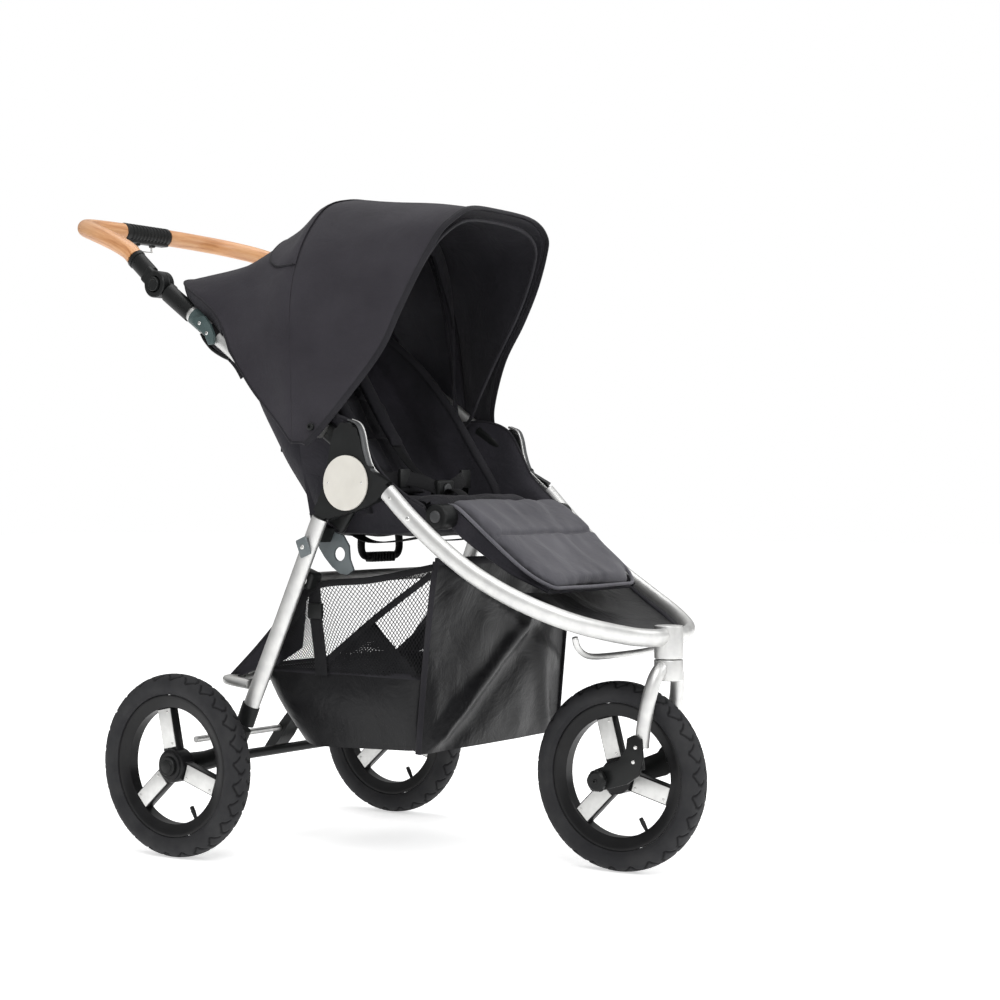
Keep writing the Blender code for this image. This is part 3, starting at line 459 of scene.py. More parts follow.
# Coated basket nylon: black, with a waxy shine along its folds.
COATED = woven("coated_nylon", "#111113", "#161618", "#0d0d0f", 1.2, 0.36, 0.0, bump=0.05, crumple=0.32, coat=0.04,
               specular=0.22)
# Polypropylene webbing: black, ribbed across, ribs every 2 mm.
WEBBING = woven("webbing", "#161618", "#1d1d1f", "#101012", 2.0, 0.66, 0.03, bump=0.5, crumple=0.0, across_only=True)
# Folded binding tape on the cloth's edges.
BINDING = woven("binding_tape", "#232226", "#2a292d", "#1c1b1f", 1.8, 0.7, 0.05, bump=0.4, crumple=0.0)
NET = moulded("knitted_net", "#151517", "#1c1c1e", 0.7, grain_mm=1.0, specular=0.15)


# ---- wheels ----
TYRE_RADIUS, TYRE_HALF_WIDTH, BEAD = 0.1525, 0.024, 0.1178
HUB_RADIUS = 0.028
REAR_WHEEL_X = 0.300
REAR_AXLE, FRONT_AXLE = Vector((0, 0.230, 0.1525)), Vector((0, -0.451, 0.1525))
STEER_Y = -0.539
TREAD_UNITS = 26            # repeats of the tread round the tyre
GROOVE_DEPTH = 0.0024


def tyre_outline():
    """The tyre's section, wide at the tread, with a raised ring low on each sidewall."""
    points = []
    for i in range(61):
        angle = math.radians(-38 + i * 256 / 60)
        wide = abs(math.cos(angle)) ** 0.85 * math.copysign(1, math.cos(angle))
        points.append((TYRE_HALF_WIDTH * wide, 0.1335 + 0.019 * math.sin(angle)))
    ring = [(0.0145, 0.1192), (0.0165, 0.1192), (0.0172, 0.1205)]
    return [(0.013, BEAD + 0.0006)] + ring + points[2:-2] + [(-x, r) for x, r in ring[::-1]] + [
        (-0.013, BEAD + 0.0006)]


def groove_gap(along, side, pitch):
    """How far a place on the tread is from the nearest curved sipe or short cut, in metres."""
    reach = np.abs(side)
    shift = np.where(side > 0, 0.0, pitch / 2)
    place = (along + shift) % pitch
    bend = 0.0100 * np.sin(reach / 0.0215 * math.pi * 1.05)
    wave = np.abs((place - (pitch * 0.30 + bend) + pitch / 2) % pitch - pitch / 2)
    wave = np.where((reach > 0.0015) & (reach < 0.0255), wave * 0.72, 1.0)
    hook = np.abs((place - (pitch * 0.84 - 0.008 * np.cos(reach / 0.024 * math.pi)) + pitch / 2) % pitch - pitch / 2)
    hook = np.where((reach > 0.010) & (reach < 0.0235), hook * 0.80, 1.0)
    cut = np.abs((place - pitch * 0.55 + pitch / 2) % pitch - pitch / 2)
    cut = np.where((reach > 0.012) & (reach < 0.0175), cut, 1.0)
    return np.minimum(np.minimum(wave, hook), cut)


def make_tyre(name, centre, node, body):
    """A rubber tyre spun round its axle, with its sipes pressed into the tread."""
    tyre = lathe(name, tyre_outline(), centre, 540)
    where = np.array([v.co for v in tyre.data.vertices]) - np.array(centre)
    radius = np.hypot(where[:, 1], where[:, 2])
    angle = np.arctan2(where[:, 2], where[:, 1])
    lift = np.arctan2(where[:, 0], radius - 0.1335)          # round the section, 0 at the crown
    side = lift * 0.0215
    gap = groove_gap((angle + math.pi) * TYRE_RADIUS, side, 2 * math.pi * TYRE_RADIUS / TREAD_UNITS)
    groove = np.clip(1 - gap / 0.0023, 0, 1) ** 0.6 * (np.abs(lift) < 1.25)
    depth = GROOVE_DEPTH * groove
    # The groove mask is kept on the mesh so that the rubber material can paint shade into the grooves.
    shade = tyre.data.attributes.new("groove", "FLOAT", "POINT")
    shade.data.foreach_set("value", groove.astype(np.float32))
    inward = np.stack([np.sin(lift), np.cos(lift) * where[:, 1] / radius, np.cos(lift) * where[:, 2] / radius], 1)
    for vertex, move in zip(tyre.data.vertices, inward * depth[:, None]):
        vertex.co -= Vector(move)
    round_off(tyre, 60)
    return dress(tyre, body, RUBBER, node)


def screw(name, place, radius=0.0021, axis="X", side=1, finish=None, slot_cut=True):
    """A domed screw head with a socket, facing along an axis."""
    bpy.ops.object.select_all(action="DESELECT")
    bpy.ops.mesh.primitive_cylinder_add(vertices=16, radius=radius, depth=radius * 0.9, location=(0, 0, 0))
    head = bpy.context.object
    head.name = head.data.name = name
    only(head)
    bpy.ops.object.mode_set(mode="EDIT")
    shape = bmesh.from_edit_mesh(head.data)
    for face in shape.faces:
        face.select = face.normal.z > 0.9
    for edge in shape.edges:
        edge.select = any(f.select for f in edge.link_faces)
    bpy.ops.mesh.bevel(offset=radius * 0.35, segments=3, affect="EDGES")
    shape = bmesh.from_edit_mesh(head.data)
    highest = max(v.co.z for v in shape.verts)
    bpy.ops.mesh.select_all(action="DESELECT")
    for face in shape.faces:
        face.select = face.normal.z > 0.95 and face.calc_center_median().z > highest - 1e-6
    bmesh.update_edit_mesh(head.data)
    if slot_cut:
        bpy.ops.mesh.inset(thickness=radius * 0.25)
        bpy.ops.mesh.extrude_region_move(TRANSFORM_OT_translate={"value": (0, 0, -radius * 0.45)})
    bpy.ops.object.mode_set(mode="OBJECT")
    turn = {"X": Matrix.Rotation(math.radians(90), 4, "Y"), "Y": Matrix.Rotation(math.radians(90), 4, "X"),
            "Z": Matrix.Identity(4)}[axis]
    if side < 0:
        turn = Matrix.Rotation(math.pi, 4, "Z" if axis != "Z" else "X") @ turn
    head.data.transform(Matrix.Translation(place) @ turn)
    round_off(head)
    head.data.materials.append(finish or ZINC)
    return head


def wheel_spokes(name, centre, first_angle):
    """The black spokes with their bright plates on both faces, and the screws that hold them."""
    pieces = []
    for i in range(3):
        angle = math.radians(first_angle + 120 * i)
        spoke = slab(f"{name}_{i}", (centre.x, centre.y + 0.060, centre.z), (0.017, 0.080, 0.032), 0.0022, 2,
                     angle, centre)
        spoke.data.materials.append(RIM)
        pieces.append(spoke)
        for face in (1, -1):
            plate = slab(f"{name}_plate_{i}", (centre.x + face * 0.0090, centre.y + 0.0625, centre.z),
                         (0.0016, 0.0645, 0.0275), 0.0006, 2, angle, centre)
            plate.data.materials.append(PLATE)
            pieces.append(plate)
            for reach in (0.036, 0.089):
                at = Matrix.Rotation(angle, 3, "X") @ Vector((face * 0.0104, reach, 0.0075))
                pieces.append(screw(f"{name}_screw", centre + at, 0.0021, "X", face))
    return pieces


def make_rim(name, centre, outward, hub, node, face_node, body, first_angle):
    """The nylon rim: a hoop, a ribbed hub, three plated spokes and a valve stem."""
    hoop = lathe(name + "_hoop", [(0.0125, BEAD - 0.0006), (0.0145, BEAD + 0.0002), (0.0150, 0.1155), (0.0138, 0.1118),
                                  (0.0112, 0.0985), (0.0098, 0.0970), (-0.0098, 0.0970), (-0.0112, 0.0985),
                                  (-0.0138, 0.1118), (-0.0150, 0.1155), (-0.0145, BEAD + 0.0002),
                                  (-0.0125, BEAD - 0.0006)], centre, 120)
    hoop.data.materials.append(RIM)
    core = lathe(name + "_hub", [(outward * x, r) for x, r in hub], centre, 64)
    core.data.materials.append(RIM)
    stem_angle = math.radians(first_angle + 75)
    bpy.ops.object.select_all(action="DESELECT")
    bpy.ops.mesh.primitive_cone_add(vertices=16, radius1=0.0042, radius2=0.0026, depth=0.018,
                                    location=(centre.x, centre.y, centre.z + 0.0895))
    stem = bpy.context.object
    seat_in_place(stem)
    in_edit(stem, (bpy.ops.mesh.bevel, {"offset": 0.0007, "segments": 2, "affect": "EDGES"}))
    stem.data.transform(Matrix.Translation(centre) @ Matrix.Rotation(stem_angle, 4, "X")
                        @ Matrix.Translation(-centre) )
    round_off(stem)
    stem.data.materials.append(RUBBER)
    cap = slab(name + "_valve_cap", (centre.x, centre.y, centre.z + 0.078), (0.0062, 0.0062, 0.0085), 0.0018, 2)
    cap.data.transform(Matrix.Translation(centre) @ Matrix.Rotation(stem_angle, 4, "X") @ Matrix.Translation(-centre))
    cap.data.materials.append(NYLON)
    rim = joined(name, [hoop, core, stem, cap] + wheel_spokes(name, centre, first_angle))
    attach(rim, body)
    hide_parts(node, face_node)
    return rim


REAR_HUB = [(-0.0272, 0.0), (-0.0272, 0.0130), (-0.0262, 0.0140), (-0.0160, 0.0140), (-0.0150, 0.0262),
            (-0.0130, HUB_RADIUS), (0.0120, HUB_RADIUS), (0.0140, 0.0270), (0.0150, 0.0235), (0.0180, 0.0228),
            (0.0190, 0.0215), (0.0190, 0.0163), (0.0115, 0.0163), (0.0115, 0.0)]
FRONT_HUB = [(-0.0560, 0.0), (-0.0560, 0.0080), (-0.0400, 0.0110), (-0.0180, 0.0150), (-0.0160, 0.0265),
             (-0.0145, HUB_RADIUS), (0.0145, HUB_RADIUS), (0.0160, 0.0265), (0.0180, 0.0150), (0.0400, 0.0110),
             (0.0560, 0.0080), (0.0560, 0.0)]


def make_wheels():
    for word, side in SIDES:
        centre = REAR_AXLE + Vector((side * REAR_WHEEL_X, 0, 0))
        body = f"rear_wheel_{word}"
        make_tyre(f"rear_tyre_{word}", centre, f"rear_{word}_tyre", body)
        make_rim(f"rear_wheel_rim_{word}", centre, side, REAR_HUB, f"rear_{word}_rim", f"rear_{word}_spoke_face",
                 body, 78)
        cap = lathe(f"wheel_cap_{word}", [(side * x, r) for x, r in (
            (0.0152, 0.0), (0.0152, 0.0158), (0.0230, 0.0158), (0.0242, 0.0148), (0.0242, 0.0112), (0.0252, 0.0104),
            (0.0262, 0.0104), (0.0268, 0.0092), (0.0268, 0.0))], centre, 48)
        dress(cap, f"wheel_release_{word}", NYLON, f"wheel_release_{word}")
    make_tyre("front_wheel_tyre", FRONT_AXLE, "front_tyre", "front_wheel")
    make_rim("front_wheel_rim", FRONT_AXLE, -1, FRONT_HUB, "front_rim", "front_spoke_face", "front_wheel", 75)


# ---- frame ----
def make_fork():
    """A forged crown over two round blades, in satin aluminium, with moulded dropouts."""
    body = "fork"
    bpy.ops.object.select_all(action="DESELECT")
    bpy.ops.mesh.primitive_cylinder_add(vertices=48, radius=0.0232, depth=0.0330, location=(0, STEER_Y, 0.3267))
    crown = bpy.context.object
    seat_in_place(crown)
    in_edit(crown, (bpy.ops.mesh.bevel, {"offset": 0.0015, "segments": 3, "affect": "EDGES"}))
    round_off(crown)
    pieces = [crown]
    for _, side in SIDES:
        path = [(side * x, STEER_Y + y, z) for x, y, z in
                ((0.004, 0.001, 0.3305), (0.020, 0.002, 0.3300), (0.0355, 0.0045, 0.3150), (0.0440, 0.010, 0.286),
                 (0.0462, 0.0170, 0.250), (0.0468, 0.0205, 0.222), (0.0470, 0.0215, 0.207))]
        pieces.append(swept("blade", catmull(path, 40), oval(0.0113, 0.0118, 28), (0, 1, 0)))
    fork = joined("fork_blades", pieces)
    dress(fork, body, ALUMINIUM, "fork")
    for word, side in SIDES:
        plate = frame["nodes"][f"dropout_{word}"]
        piece = bpy.data.objects.new(f"fork_end_{word}", plate.data.copy())
        bpy.context.scene.collection.objects.link(piece)
        only(piece)
        bpy.ops.mesh.customdata_custom_splitnormals_clear()
        in_edit(piece, (bpy.ops.mesh.remove_doubles, {"threshold": 1e-6}),
                (bpy.ops.mesh.dissolve_limited, {"angle_limit": math.radians(1)}),
                (bpy.ops.mesh.bevel, {"offset": 0.0009, "segments": 2, "affect": "EDGES"}))
        round_off(piece)
        dress(piece, body, NYLON, f"dropout_{word}")
        shoe = slab(f"fork_shoe_{word}", (side * 0.0560, -0.5135, 0.194), (0.0065, 0.024, 0.044), 0.0022, 3,
                    math.radians(-6))
        rivets = [screw("rivet", (side * 0.0655, y, z), 0.0034, "X", side, slot_cut=False)
                  for y, z in ((-0.5165, 0.209), (-0.5125, 0.186))]
        shoe.data.materials.append(NYLON)
        shoe = joined(f"fork_shoe_{word}", [shoe] + rivets)
        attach(shoe, body)
    refined("axle_knob", "axle_knob", NYLON, 2, 30)
    lobes = [slab("knob_lobe", FRONT_AXLE + Matrix.Rotation(math.radians(60 * i), 3, "X") @ Vector((-0.0730, 0.0135, 0)),
                  (0.0085, 0.0085, 0.0090), 0.0028, 3, math.radians(60 * i)) for i in range(6)]
    lobes.append(screw("knob_screw", FRONT_AXLE + Vector((-0.0800, 0, 0)), 0.0042, "X", -1, NYLON))
    for lobe in lobes[:-1]:
        lobe.data.materials.append(NYLON)
    lobes = joined("axle_knob_lobes", lobes)
    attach(lobes, "axle_knob")


FRONT_TUBE_POINTS = [(0.2345, -0.1604, 0.6077), (0.232, -0.205, 0.565), (0.225, -0.260, 0.518), (0.212, -0.320, 0.474),
                     (0.192, -0.390, 0.436), (0.155, -0.462, 0.405), (0.100, -0.518, 0.386), (0.055, -0.538, 0.380),
                     (0.018, -0.5405, 0.379)]


def side_of(points, side):
    return [(side * x, y, z) for x, y, z in points]


def make_front_frame():
    body = "front_frame"
    for word, side in SIDES:
        tube = swept(f"front_tube_{word}", catmull(side_of(FRONT_TUBE_POINTS, side), 90), oval(0.0100, 0.0150, 32))
        dress(tube, body, ALUMINIUM, f"frame_tube_{word}")
        make_ear(word, side)
        rivets = [screw("rivet", (side * 0.2440, -0.1720, 0.5975), 0.0028, "X", side),
                  screw("rivet", (side * 0.2418, -0.2060, 0.5650), 0.0040, "X", side, slot_cut=False),
                  screw("rivet", (side * 0.2440, -0.0175, 0.5505), 0.0024, "X", side)]
        rivets[2].data.transform(Matrix.Translation((0, 0, 0)))
        legs_rivet = rivets.pop()
        legs_rivet.name = f"leg_rivet_{word}"
        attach(legs_rivet, "rear_legs")
        heads = joined(f"frame_rivets_{word}", rivets)
        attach(heads, body)
    bpy.ops.object.select_all(action="DESELECT")
    bpy.ops.mesh.primitive_cylinder_add(vertices=56, radius=0.0230, depth=0.0525, location=(0, STEER_Y, 0.37075))
    head = bpy.context.object
    seat_in_place(head)
    in_edit(head, (bpy.ops.mesh.bevel, {"offset": 0.0018, "segments": 3, "affect": "EDGES"}))
    head.name = head.data.name = "steering_head"
    round_off(head)
    dress(head, body, ALUMINIUM, "head_tube")
    for y, z, radius, node in ((0, 0, 0, "foot_bar"),):
        refined(node, body, ALUMINIUM, 2, 60)


def make_ear(word, side):
    """The hub housing: its CAD outline rounded off, a satin trim strip on its front, and the cover disc."""
    body = "front_frame"
    piece = bpy.data.objects.new(f"hub_housing_{word}", frame["nodes"][f"ear_{word}"].data.copy())
    bpy.context.scene.collection.objects.link(piece)
    only(piece)
    bpy.ops.mesh.customdata_custom_splitnormals_clear()
    in_edit(piece, (bpy.ops.mesh.remove_doubles, {"threshold": 1e-6}),
            (bpy.ops.mesh.dissolve_limited, {"angle_limit": math.radians(1)}))
    shape = bmesh.new()
    shape.from_mesh(piece.data)
    corners = [e for e in shape.edges if abs(e.verts[0].co.x - e.verts[1].co.x) > 0.005]
    bmesh.ops.bevel(shape, geom=corners, offset=0.009, segments=4, affect="EDGES", clamp_overlap=True)
    rims = [e for e in shape.edges if e.is_manifold and e.calc_face_angle(0) > math.radians(70)
            and abs(e.verts[0].co.x - e.verts[1].co.x) < 1e-5]
    bmesh.ops.bevel(shape, geom=rims, offset=0.0032, segments=3, affect="EDGES", clamp_overlap=True)
    shape.to_mesh(piece.data)
    shape.free()
    round_off(piece, 40)
    dress(piece, body, NYLON, f"ear_{word}")
    strip_line = [(side * 0.2330, y, z) for y, z in
                  ((-0.0830, 0.7235), (-0.1000, 0.7165), (-0.1085, 0.7010), (-0.1150, 0.6730), (-0.1255, 0.6470),
                   (-0.1440, 0.6300), (-0.1640, 0.6135))]
    strip = swept(f"hub_trim_{word}", catmull(strip_line, 40), tape(0.0120, 0.0030))
    dress(strip, body, TRIM)
    inner = [(side * 0.2262, y - 0.0004, z) for _, y, z in strip_line]
    bright = swept(f"hub_bright_edge_{word}", catmull(inner, 40), oval(0.0013, 0.0022, 10))
    dress(bright, body, ALUMINIUM)
    disc = refined(f"ear_disc_{word}", body, DISC, 0, 30)
    apply_modifier(disc, "BEVEL", width=0.0009, segments=3, limit_method="ANGLE", angle_limit=math.radians(50))
    round_off(disc)
    heads = [screw("cover_screw", (side * 0.2446, -0.082 + dy, 0.622), 0.0018, "X", side) for dy in (-0.034, 0.034)]
    heads = joined(f"cover_screws_{word}", heads)
    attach(heads, body)


def make_rear_frame():
    body = "rear_legs"
    way = Vector((0, 0.397, -0.918)).normalized()
    for word, side in SIDES:
        leg = swept(f"leg_tube_{word}",
                    [(side * 0.235, -0.0236, 0.5651), (side * 0.2425, 0.0485, 0.3960), (side * 0.250, 0.1234, 0.2257)],
                    oval(0.0100, 0.0150, 32))
        dress(leg, body, ALUMINIUM)
        middle = Vector((side * 0.2150, -0.0132, 0.5411))
        step = slab(f"leg_bracket_{word}", middle, (0.031, 0.024, 0.026), 0.003, 2, math.radians(23))
        dress(step, body, NYLON)
        lug = slab(f"leg_lug_{word}", (side * 0.2045, -0.052, 0.590), (0.011, 0.050, 0.090), 0.005, 3,
                   math.radians(35))
        dress(lug, body, NYLON)
        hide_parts(f"rear_leg_{word}")
        foot = swept(f"leg_socket_{word}",
                     [Vector((side * 0.2490, *(Vector((0, 0.1105, 0.2555)) + way * t).yz)) for t in (0, 0.012, 0.034)],
                     oval(0.0118, 0.0168, 28))
        dress(foot, body, NYLON)
    bar = lathe("cross_bar", [(-0.2288, 0.0), (-0.2288, 0.0098), (-0.2280, 0.0105), (0.2280, 0.0105), (0.2288, 0.0098),
                              (0.2288, 0.0)], Vector((0, 0.0199, 0.465)), 32)
    dress(bar, body, ALUMINIUM, "rear_cross_bar")
    ends = [slab("bar_end", (side * 0.2130, 0.0180, 0.4650), (0.030, 0.034, 0.030), 0.006, 3, math.radians(20))
            for _, side in SIDES]
    dress(joined("cross_bar_ends", ends), body, NYLON)
    refined("basket_bar", body, ALUMINIUM, 2, 60)
    catch = refined("fold_catch", "fold_catch", CATCH, 0, 30)
    apply_modifier(catch, "BEVEL", width=0.0012, segments=2, limit_method="ANGLE", angle_limit=math.radians(50))
    round_off(catch)
    axle = lathe("axle_tube", [(-0.2722, 0.0), (-0.2722, 0.0085), (0.2722, 0.0085), (0.2722, 0.0)], REAR_AXLE, 28)
    arms = [axle]
    for _, side in SIDES:
        line = side_of(((0.2505, 0.1275, 0.2170), (0.2510, 0.140, 0.1950), (0.2510, 0.168, 0.1720),
                        (0.2510, 0.205, 0.1580), (0.2510, 0.242, 0.1515)), side)
        arms.append(swept("arm", catmull(line, 24), oval(0.0123, 0.0163, 24)))
    dress(joined("axle_and_arms", arms), "rear_axle", NYLON, "rear_axle")
    rod = lathe("brake_shaft", [(-0.2360, 0.0), (-0.2360, 0.0055), (0.2360, 0.0055), (0.2360, 0.0)],
                Vector((0, 0.245, 0.188)), 24)
    dress(rod, "brake", ALUMINIUM, "brake_rod")
    pedal = refined("brake_pedal", "brake", NYLON, 0, 30)
    apply_modifier(pedal, "BEVEL", width=0.0016, segments=2, limit_method="ANGLE", angle_limit=math.radians(50))
    round_off(pedal)
    ribs = []
    for i in range(5):
        t = 0.16 + 0.17 * i
        y, z = 0.224 + (0.286 - 0.224) * t, 0.219 + (0.142 - 0.219) * t
        ribs.append(slab("pedal_rib", (0, y + 0.0012, z + 0.0012), (0.031, 0.0032, 0.0032), 0.001, 2,
                         math.radians(40)))
    dress(joined("pedal_ribs", ribs), "brake", NYLON)


# ---- handle and folding upper frame ----
KNUCKLE = Vector((0, 0.3323, 0.9640))
TUBE_X, TUBE_RISE = 0.232, math.radians(35.5)
TUBE_WAY = Vector((0, math.cos(TUBE_RISE), math.sin(TUBE_RISE)))
FOLD_PIVOT = Vector((0, -0.075, 0.673))
SLEEVE_END = Vector((0, 0.388, 1.013))


def make_handle():
    way = (SLEEVE_END - KNUCKLE).normalized()
    for word, side in SIDES:
        out = Vector((side * TUBE_X, 0, 0))
        start, second = SLEEVE_END + way * 0.0018, SLEEVE_END + way * 0.020
        line = side_of(((TUBE_X, *start.yz), (TUBE_X, *second.yz), (0.2305, 0.436, 1.043), (0.2180, 0.496, 1.065),
                        (0.1900, 0.549, 1.080), (0.1450, 0.580, 1.088), (0.1000, 0.588, 1.0905),
                        (0.0590, 0.588, 1.091)), side)
        grip = swept(f"wood_grip_{word}", catmull(line, 80), oval(0.0155, 0.0155, 32))
        dress(grip, "handle", WOOD, f"grip_{word}")
        sleeve = swept("sleeve", [KNUCKLE + way * t + out for t in (0.0255, 0.030, 0.050, 0.0715, 0.0735)],
                       oval(0.0130, 0.0165, 32))
        collar = swept("collar", [SLEEVE_END + way * t + out for t in (-0.0070, -0.0062, -0.0008, 0.0)],
                       oval(0.0142, 0.0176, 32))
        centre = Vector((0, KNUCKLE.y, KNUCKLE.z))
        half = lathe("half", [(side * x, r) for x, r in (
            (0.2322, 0.0), (0.2322, 0.0222), (0.2330, 0.0232), (0.2440, 0.0232), (0.2458, 0.0215), (0.2458, 0.0150),
            (0.2448, 0.0138), (0.2370, 0.0136), (0.2370, 0.0))], centre, 48)
        neck = slab("neck", centre + out * 1.0 + way * 0.020 + Vector((side * 0.0068, 0, 0)), (0.0130, 0.026, 0.030),
                    0.004, 3, math.atan2(way.z, way.y))
        tiny = screw("sleeve_screw", SLEEVE_END + way * -0.014 + out + Vector((side * 0.0128, 0, 0)), 0.0024, "X",
                     side, NYLON)
        pieces = [sleeve, collar, half, neck]
        for piece in pieces:
            piece.data.materials.append(NYLON)
        knuckle = joined(f"handle_knuckle_{word}", pieces + [tiny])
        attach(knuckle, "handle")
        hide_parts(f"upper_knuckle_{word}")
        button = lathe(f"tilt_button_{word}", [(side * x, r) for x, r in (
            (0.2378, 0.0), (0.2378, 0.0123), (0.2485, 0.0123), (0.2497, 0.0112), (0.2497, 0.0085), (0.2490, 0.0075),
            (0.2490, 0.0))], centre, 40)
        dress(button, f"handle_button_{word}", NYLON, f"handle_button_{word}")
        make_upper_side(word, side, out, centre)
    grooves = [(-0.0578, 0.0), (-0.0578, 0.0152), (-0.0560, 0.0168), (-0.0500, 0.0168)]
    for i in range(11):
        x = -0.045 + i * 0.009
        grooves += [(x - 0.0030, 0.0168), (x - 0.0018, 0.0150), (x + 0.0018, 0.0150), (x + 0.0030, 0.0168)]
    grooves += [(0.0500, 0.0168), (0.0560, 0.0168), (0.0578, 0.0152), (0.0578, 0.0)]
    console = lathe("handle_centre", grooves, Vector((0, 0.588, 1.091)), 48)
    console.data.materials.append(NYLON)
    cover = slab("cover", (0, 0.588, 1.0765), (0.1120, 0.0200, 0.0090), 0.0030, 3)
    cover.data.materials.append(NYLON)
    whole = joined("handle_console_ridged", [console, cover])
    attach(whole, "handle")
    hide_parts("handle_console")
    ring = [(-0.018, 0.588, 1.0730), (-0.018, 0.588, 1.0625), (-0.0155, 0.588, 1.0585), (0.0155, 0.588, 1.0585),
            (0.018, 0.588, 1.0625), (0.018, 0.588, 1.0730)]
    loop = swept("wrist_ring", catmull(ring, 36), oval(0.0017, 0.0017, 10), (0, 1, 0))
    dress(loop, "handle", ZINC)
    lugs = [slab("ring_lug", (x, 0.588, 1.0735), (0.0075, 0.012, 0.011), 0.002, 2) for x in (-0.020, 0.020)]
    dress(joined("wrist_ring_lugs", lugs), "handle", NYLON)


def make_upper_side(word, side, out, centre):
    """One side of the folding frame: its tube, the lower half of the knuckle, and the fold lever."""
    body = "upper_frame"
    sleeve_start = KNUCKLE - TUBE_WAY * 0.091
    tube = swept(f"upper_rail_{word}", [FOLD_PIVOT + TUBE_WAY * 0.057 + out, sleeve_start + out], oval(0.0110, 0.0140, 32))
    dress(tube, body, ALUMINIUM, f"upper_tube_{word}")
    lug = slab(f"upper_lug_{word}", FOLD_PIVOT + TUBE_WAY * 0.028 + Vector((side * 0.2186, 0, 0)),
               (0.0135, 0.088, 0.030), 0.006, 3, TUBE_RISE)
    dress(lug, body, NYLON)
    sleeve = swept("sleeve", [sleeve_start + TUBE_WAY * t + out for t in (0.0, 0.001, 0.0645)], oval(0.0130, 0.0165, 32))
    half = lathe("half", [(side * x, r) for x, r in (
        (0.2175, 0.0), (0.2175, 0.0205), (0.2195, 0.0230), (0.2300, 0.0232), (0.2312, 0.0222), (0.2312, 0.0))],
        centre, 48)
    neck = slab("neck", centre + Vector((side * 0.2250, 0, 0)) - TUBE_WAY * 0.020, (0.0122, 0.024, 0.029), 0.004, 3,
                TUBE_RISE)
    for piece in (sleeve, half, neck):
        piece.data.materials.append(NYLON)
    head = screw("sleeve_screw", sleeve_start + TUBE_WAY * 0.020 + out + Vector((side * 0.0126, 0, 0)), 0.0024, "X",
                 side, NYLON)
    knuckle = joined(f"knuckle_lower_{word}", [sleeve, half, neck, head])
    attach(knuckle, body)
    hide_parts(f"lower_knuckle_{word}")
    outline = [(0.2385, 0.9020), (0.2140, 0.9035), (0.2020, 0.8900), (0.1930, 0.8720), (0.1930, 0.8560),
               (0.2040, 0.8540), (0.2120, 0.8700), (0.2300, 0.8840), (0.2400, 0.8930)]
    points = [(side * 0.2434, y, z) for y, z in outline] + [(side * 0.2512, y, z) for y, z in outline]
    n = len(outline)
    faces = [tuple(range(n)), tuple(range(2 * n - 1, n - 1, -1))]
    faces += [((k + 1) % n, k, k + n, (k + 1) % n + n) for k in range(n)]
    lever = mesh_piece(f"flip_lever_{word}", points, faces)
    in_edit(lever, (bpy.ops.mesh.normals_make_consistent, {"inside": False}),
            (bpy.ops.mesh.bevel, {"offset": 0.0014, "segments": 3, "affect": "EDGES"}))
    round_off(lever)
    lever.data.materials.append(SLATE)
    rivets = [screw("lever_rivet", (side * 0.2514, y, z), 0.0034, "X", side, slot_cut=False)
              for y, z in ((0.2225, 0.8915), (0.2065, 0.8740))]
    lever = joined(f"flip_lever_{word}", [lever] + rivets)
    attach(lever, f"fold_lever_{word}")
    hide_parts(f"fold_lever_{word}")
    clamp_at = sleeve_start - TUBE_WAY * 0.020 + out
    clamp = swept(f"lever_clamp_{word}", [clamp_at - TUBE_WAY * 0.018, clamp_at + TUBE_WAY * 0.012],
                  oval(0.0120, 0.0152, 28))
    dress(clamp, body, SLATE)
    band_at = sleeve_start - TUBE_WAY * 0.078 + out
    band = swept(f"tube_band_{word}", [band_at, band_at + TUBE_WAY * 0.024], oval(0.0120, 0.0150, 28))
    dress(band, body, WEBBING)
    low = Vector((0, TUBE_WAY.z, -TUBE_WAY.y))
    cable = [clamp_at + TUBE_WAY * t + low * d for t, d in
             ((-0.020, 0.0155), (-0.034, 0.0205), (-0.056, 0.0235), (-0.080, 0.0205), (-0.098, 0.0160))]
    line = swept(f"release_cable_{word}", catmull(cable, 24), oval(0.0042, 0.0030, 12))
    dress(line, body, NYLON)


# ---- canopy ----
CANOPY_RIM = [(0.2492, -0.006, 0.6850), (0.2485, -0.034, 0.7080), (0.2130, -0.058, 0.7600), (0.1800, -0.104, 0.838),
              (0.1800, -0.142, 0.902), (0.1750, -0.175, 0.962), (0.1600, -0.204, 1.020), (0.1390, -0.219, 1.047),
              (0.0920, -0.2225, 1.069), (0, -0.211, 1.076)]
CANOPY_SEAM = [(0.2510, 0.022, 0.688), (0.2510, 0.023, 0.740), (0.2490, 0.026, 0.800), (0.2460, 0.031, 0.855),
               (0.2380, 0.037, 0.912), (0.2200, 0.043, 0.968), (0.1850, 0.047, 1.030), (0.1280, 0.049, 1.086),
               (0.0650, 0.050, 1.106), (0, 0.050, 1.111)]
CANOPY_SECOND = [(0.2510, 0.060, 0.722), (0.2510, 0.070, 0.770), (0.2505, 0.080, 0.815), (0.2490, 0.088, 0.858),
                 (0.2440, 0.096, 0.905), (0.2280, 0.104, 0.955), (0.1930, 0.110, 1.008), (0.1320, 0.114, 1.051),
                 (0.0660, 0.116, 1.066), (0, 0.117, 1.070)]
CANOPY_THIRD = [(0.2510, 0.112, 0.775), (0.2510, 0.124, 0.810), (0.2505, 0.136, 0.842), (0.2495, 0.148, 0.874),
                (0.2460, 0.162, 0.908), (0.2360, 0.176, 0.944), (0.2080, 0.188, 0.980), (0.1430, 0.196, 1.007),
                (0.0710, 0.199, 1.016), (0, 0.200, 1.018)]
